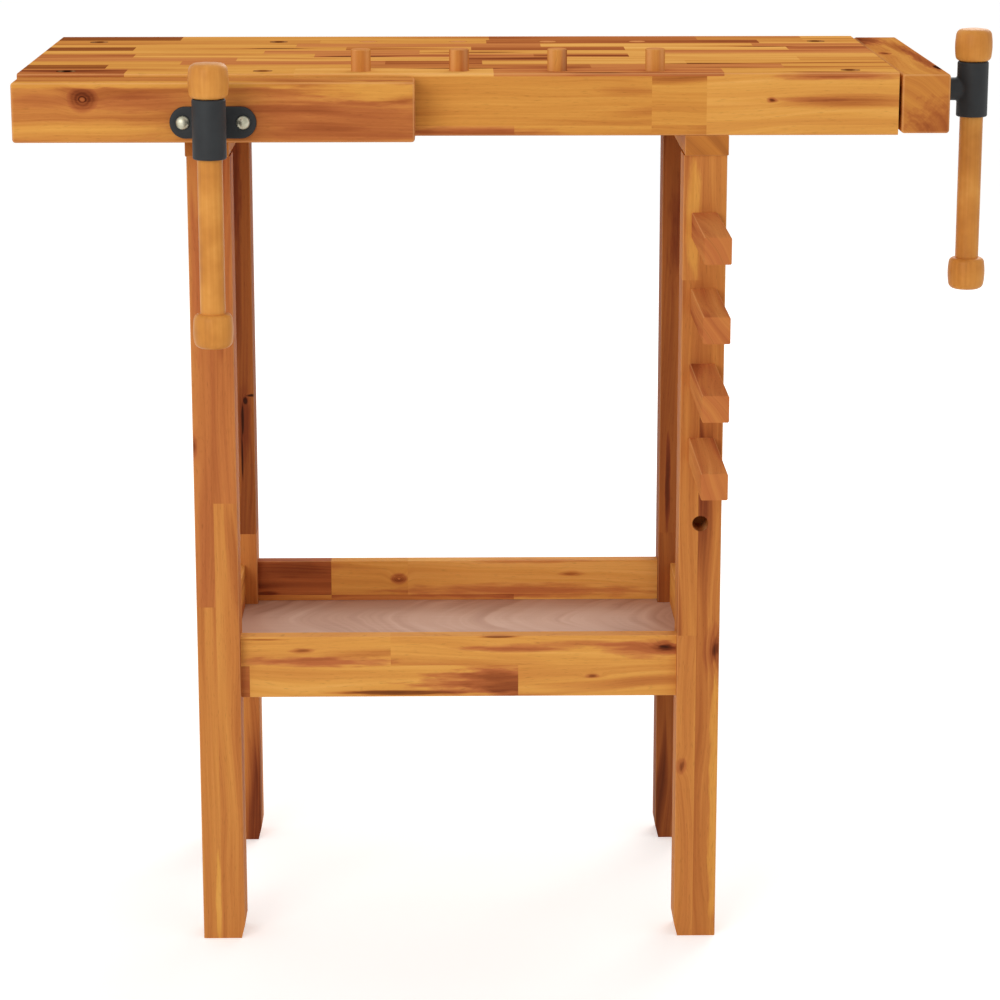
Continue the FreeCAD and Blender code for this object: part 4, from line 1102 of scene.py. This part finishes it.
# %% [markdown]
# ## Flanges
#
# A flange is a pressed plate with round ends. Every point of its outline lies at one distance from a
# segment, so the surface goes from that segment outwards and over a rounded rim. Around each bolt the plate
# is dished by half a millimetre, as a press leaves it. A cut-out plate with a bevel would lack that dish.

# %% Flanges
DISH_DEPTH, DISH_RADIUS = 0.5, 7.6
RIM = 1.1


def flange_grid(name, columns=144, rows=30):
    """Points m + r * n: m on the middle segment, n its outward direction, r from 0 to the end radius. While
    |cos a| is under 1/3, m runs along the segment, and past that it stays at its end and n turns round it.
    The face lies at the plate's thickness, less a dish of 0.5 mm * exp(-(d / 7.6)^8), d from the bolt."""
    low, high = span(name, "flange")
    end = (high - low)[2] / 2
    half = (high - low)[1] / 2 - end
    a = np.linspace(0, 2 * math.pi, columns, endpoint=False)
    m = half * np.clip(3 * np.cos(a), -1, 1)
    round_end = np.arccos(np.clip((np.abs(np.cos(a)) - 1 / 3) * 1.5, 0, 1))
    spread = np.where(np.abs(3 * np.cos(a)) < 1, math.pi / 2, round_end)
    n = np.stack([np.cos(spread) * np.sign(np.cos(a)), np.sin(spread) * np.sign(np.sin(a) + 1e-9)], axis=-1)
    over = np.linspace(0, 1, 6)[1:] * math.pi / 2
    r = np.concatenate([np.linspace(0, end - RIM, rows), end - RIM + RIM * np.sin(over)])
    drop = np.concatenate([np.zeros(rows), RIM * (1 - np.cos(over))])
    y = m[None] + r[:, None] * n[None, :, 0]
    z = r[:, None] * n[None, :, 1]
    bolt_low, bolt_high = span(name, "flange_bolts")
    bolt_y = bolt_high[1] - (bolt_high - bolt_low)[2] / 2
    d = np.sqrt((np.abs(y) - bolt_y) ** 2 + z ** 2)
    dish = DISH_DEPTH * np.exp(-(d / DISH_RADIUS) ** 8) * (r[:, None] <= end - RIM)
    front = np.stack([high[0] - drop[:, None] - dish, y, z], axis=-1)
    back = front[::-1].copy()
    back[..., 0] = low[0]
    return placed(name, np.concatenate([front, back]))


print("a flange is a grid of {} rows and {} columns".format(*flange_grid("front").shape))

# %% [markdown]
# ## Domed bolts
#
# Two bolts hold each flange to its jaw. They have plain domed heads, as carriage bolts have, so nothing on
# them catches a sleeve. A squashed ball would lack the low edge under the dome, so each bolt is one profile:
# a shank, a flat underside, that edge and the dome. A flange and its bolts ride on the same jaw, so they go
# in place together.

# %% Domed bolts, and each flange with its own
SHANK_RADIUS, HEAD_EDGE = 3.0, 0.8


def bolt_grids(name):
    """Two domed heads with their shanks. On the dome, radius = R * cos b and height = h * sin b, which is
    h * root(1 - (r / R)^2)."""
    low, high = span(name, "flange_bolts")
    head = (high - low)[2] / 2
    seat = span(name, "flange")[1][0] - DISH_DEPTH
    b = np.radians(np.linspace(0, 90, 12))
    dome = np.stack([head * np.cos(b), seat + HEAD_EDGE + (high[0] - seat - HEAD_EDGE) * np.sin(b)], axis=-1)
    shank = [(0.0, low[0]), (SHANK_RADIUS, low[0]), (SHANK_RADIUS, seat), (head, seat)]
    profile = np.concatenate([shank, dome])
    out, along, _ = VISES[name]["turn"]
    return [turn_profile(profile, placed(name, (0, way * (high[1] - head), 0)), out, along, 32)
            for way in (-1, 1)]


for name in VISES:
    make_piece(f"{name}_pressed_flange", [flange_grid(name)], iron, f"{name}_jaw_set",
               [f"{name}_flange"])
    make_piece(f"{name}_domed_bolts", bolt_grids(name), zinc, f"{name}_jaw_set",
               [f"{name}_flange_bolts"])

# %% [markdown]
# ## Heads with a recess
#
# The bolts of the frame take a hexagon key, and the screws of the nut plates a cross-head driver. A recess
# could be cut with a boolean, which leaves long thin faces. Here the head's own rows go on down a wall whose
# radius depends on the angle, so that the grid stays whole.

# %% A turned head with a recess
around = np.linspace(0, 2 * math.pi, 72, endpoint=False)
# A hexagon's wall is at h / cos(b): h is half the width across the flats, b the angle from the nearest flat.
HEXAGON = 2.0 / np.cos((around + math.pi / 6) % (math.pi / 3) - math.pi / 6)
# A cross recess has four soft lobes: its wall is at 0.8 mm + 1.5 mm * |cos 2a|^6.
CROSS = 0.8 + 1.5 * np.abs(np.cos(2 * around)) ** 6
FLOOR_CONE = 0.4                        # mm by which the middle of a recess's floor lies lower


def recessed(profile, wall, depth, base, axis, side):
    """A turned bolt or screw, then a recess in its head: the profile ends at the recess's rim, and the wall
    goes down from there to the floor and in to the axis."""
    head = turn_profile(profile, base, axis, side, len(wall))
    unit_ring = turn_profile([(1.0, 0.0)], (0, 0, 0), axis, side, len(wall))[0]
    top = profile[-1][1]
    axis, base = np.asarray(axis, float), np.asarray(base)
    rows = [base + top * MM * axis + unit_ring * wall[:, None],
            base + (top - depth) * MM * axis + unit_ring * wall[:, None],
            base + (top - depth - FLOOR_CONE) * MM * axis + unit_ring * 0.0]
    return np.concatenate([head, rows])


for recess, wall in (("hexagon", HEXAGON), ("cross", CROSS)):
    print(recess, "recess: radius", wall.min().round(2), "to", wall.max().round(2), "mm")

# %% [markdown]
# ## Frame bolts
#
# Four bolts are sunk in the legs and pull the rails tight: one from each side, near the front and near the
# back. The four are one piece, and the box of the CAD node gives the place of every head.

# %% Frame bolts
BOLT_LENGTH, BOLT_HEAD_HEIGHT, BOLT_RADIUS = 68.0, 6.0, 2.5
low, high = (np.array(corner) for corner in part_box("frame_bolts"))
head = (high - low)[2] / 2 / MM
under = BOLT_LENGTH - BOLT_HEAD_HEIGHT
bolt_profile = [(0, 0), (BOLT_RADIUS - 0.5, 0), (BOLT_RADIUS, 0.5), (BOLT_RADIUS, under),
                (head - 0.4, under), (head, under + 0.4), (head, BOLT_LENGTH - 0.6),
                (head - 0.6, BOLT_LENGTH), (2.8, BOLT_LENGTH)]
grids = []
for y in (low[1] + head * MM, high[1] - head * MM):
    for x, way in ((low[0], -1), (high[0], 1)):
        tip = (x - way * BOLT_LENGTH * MM, y, (low[2] + high[2]) / 2)
        grids.append(recessed(bolt_profile, HEXAGON, 3.0, tip, (way, 0, 0), (0, 1, 0)))
make_piece("socket_head_frame_bolts", grids, zinc, "bench", ["frame_bolts"], sharp=30.0)

# %% [markdown]
# ## Screws of the nut plates
#
# Each vise's nut plate is held from inside the bench by two round-headed screws. The heads stand on the
# plate, which is 5 mm thick there. From under its head a screw goes 22 mm in, through the plate and into
# the wood.

# %% Nut screws
SCREW_REACH, SCREW_SPACING, PLATE = 22.0, 42.0, 5.0
pan_profile = np.concatenate([
    [(0, 0), (1.2, 1.8), (2, 2.2), (2, SCREW_REACH), (4, SCREW_REACH)],
    arc((2.5, SCREW_REACH + 1.1), 1.5, 0, 90)])
grids = []
for name, vise in VISES.items():
    out, along, _ = vise["turn"]
    wall = (np.array(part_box(vise["carrier"])) @ out) / MM
    tip_at = -(wall.max() - wall.min()) - PLATE + SCREW_REACH
    for side_at in (-SCREW_SPACING / 2, SCREW_SPACING / 2):
        grids.append(recessed(pan_profile, CROSS, 1.3, placed(name, (tip_at, side_at, 0)), -out, along))
make_piece("cross_head_nut_screws", grids, zinc, "bench", ["nut_screws"], sharp=30.0)

# %% [markdown]
# ## Studio floor
#
# The bench stands on a wide pale floor. It adds a little of its own light where the camera or a glossy
# surface sees it, so that it reads white and still keeps the bench's shadow. More lamp light would whiten it
# too, and would wash out the wood.

# %% Floor
FLOOR_HALF = 30.0                       # metres from the bench to the edge, so that no edge is ever in view
FLOOR_GLOW = 0.36


def floor_material():
    """Matt pale paint, with a glow that only the camera, reflections and clear things see."""
    material, tree = new_material("pale_studio_floor")
    path = add(tree, "LightPath")
    seen = add(tree, "Math", {0: path.outputs["Is Camera Ray"], 1: path.outputs["Is Glossy Ray"]},
               operation="MAXIMUM")
    seen = add(tree, "Math", {0: seen, 1: path.outputs["Is Transmission Ray"]}, operation="MAXIMUM")
    glow = add(tree, "Math", {0: seen, 1: FLOOR_GLOW}, operation="MULTIPLY")
    paint = add(tree, "BsdfPrincipled", {
        "Base Color": linear("f2f1ef"), "Roughness": 0.9, "Emission Color": (1, 1, 1, 1),
        "Emission Strength": glow})
    add(tree, "OutputMaterial", {"Surface": paint})
    return material


floor_mesh = bpy.data.meshes.new("studio_floor")
corners = [(x * FLOOR_HALF, y * FLOOR_HALF, 0) for x, y in ((-1, -1), (1, -1), (1, 1), (-1, 1))]
floor_mesh.from_pydata(corners, [], [(0, 1, 2, 3)])
floor = bpy.data.objects.new("studio_floor", floor_mesh)
bpy.context.scene.collection.objects.link(floor)
floor_mesh.materials.append(floor_material())
print("floor:", 2 * FLOOR_HALF, "m square")

# %% [markdown]
# ## Light
#
# Soft light from all sides keeps the colours as they are written. On top of it, one large lamp high at the
# front left gives the edges shape, and one behind lights the rear faces. The world is white where the camera
# or a reflection sees it, and dimmer as a source of light.

# %% Light
SKY_LIGHT, SKY_SEEN = 0.72, 1.0
LAMP_TARGET = (0, 0, 0.5)

world = bpy.data.worlds.new("soft_studio")
bpy.context.scene.world = world
world.use_nodes = True
sky = world.node_tree
sky.nodes.clear()
path = add(sky, "LightPath")
seen = add(sky, "Math", {0: path.outputs["Is Camera Ray"], 1: path.outputs["Is Glossy Ray"]},
           operation="MAXIMUM")
strength = add(sky, "MapRange", {"Value": seen, 1: 0.0, 2: 1.0, 3: SKY_LIGHT, 4: SKY_SEEN})
background = add(sky, "Background", {0: (1, 1, 1, 1), 1: strength})
add(sky, "OutputWorld", {"Surface": background})


def soft_lamp(name, place, size, watts):
    """A square area lamp at a place, turned to the bench."""
    data = bpy.data.lights.new(name, "AREA")
    data.size, data.energy = size, watts
    lamp = bpy.data.objects.new(name, data)
    bpy.context.scene.collection.objects.link(lamp)
    lamp.location = place
    aim = np.subtract(LAMP_TARGET, place)
    lamp.rotation_euler = Vector(aim).to_track_quat("-Z", "Y").to_euler()
    print(f"{name}: {watts} W over {size} m")


soft_lamp("key_lamp", (-1.7, -3.4, 1.9), size=1.8, watts=42)
soft_lamp("back_lamp", (1.2, 3.0, 2.6), size=2.0, watts=46)

# %% [markdown]
# ## Camera
#
# The bench is seen from the front, a little above the worktop and from nearly three metres away. A long lens
# keeps its uprights almost parallel, which a short one from close by would not.

# %% Camera
CAMERA_PLACE = (-0.0671, -3.000, 1.130)
CAMERA_PITCH = 0.2358                   # radians below the horizon
CAMERA_YAW = -0.0162                    # radians to the right
FOCAL_SHARE = 3.180                     # focal length as a share of the frame's width
SENSOR = 36.0

camera_data = bpy.data.cameras.new("bench_camera")
camera_data.sensor_width = SENSOR
camera_data.lens = SENSOR * FOCAL_SHARE
camera_data.clip_end = 100.0
camera = bpy.data.objects.new("bench_camera", camera_data)
bpy.context.scene.collection.objects.link(camera)
camera.location = CAMERA_PLACE
camera.rotation_euler = (math.pi / 2 - CAMERA_PITCH, 0.0, CAMERA_YAW)
bpy.context.scene.camera = camera

bpy.context.scene.view_settings.view_transform = "Standard"
print("lens:", round(camera_data.lens, 1), "mm")
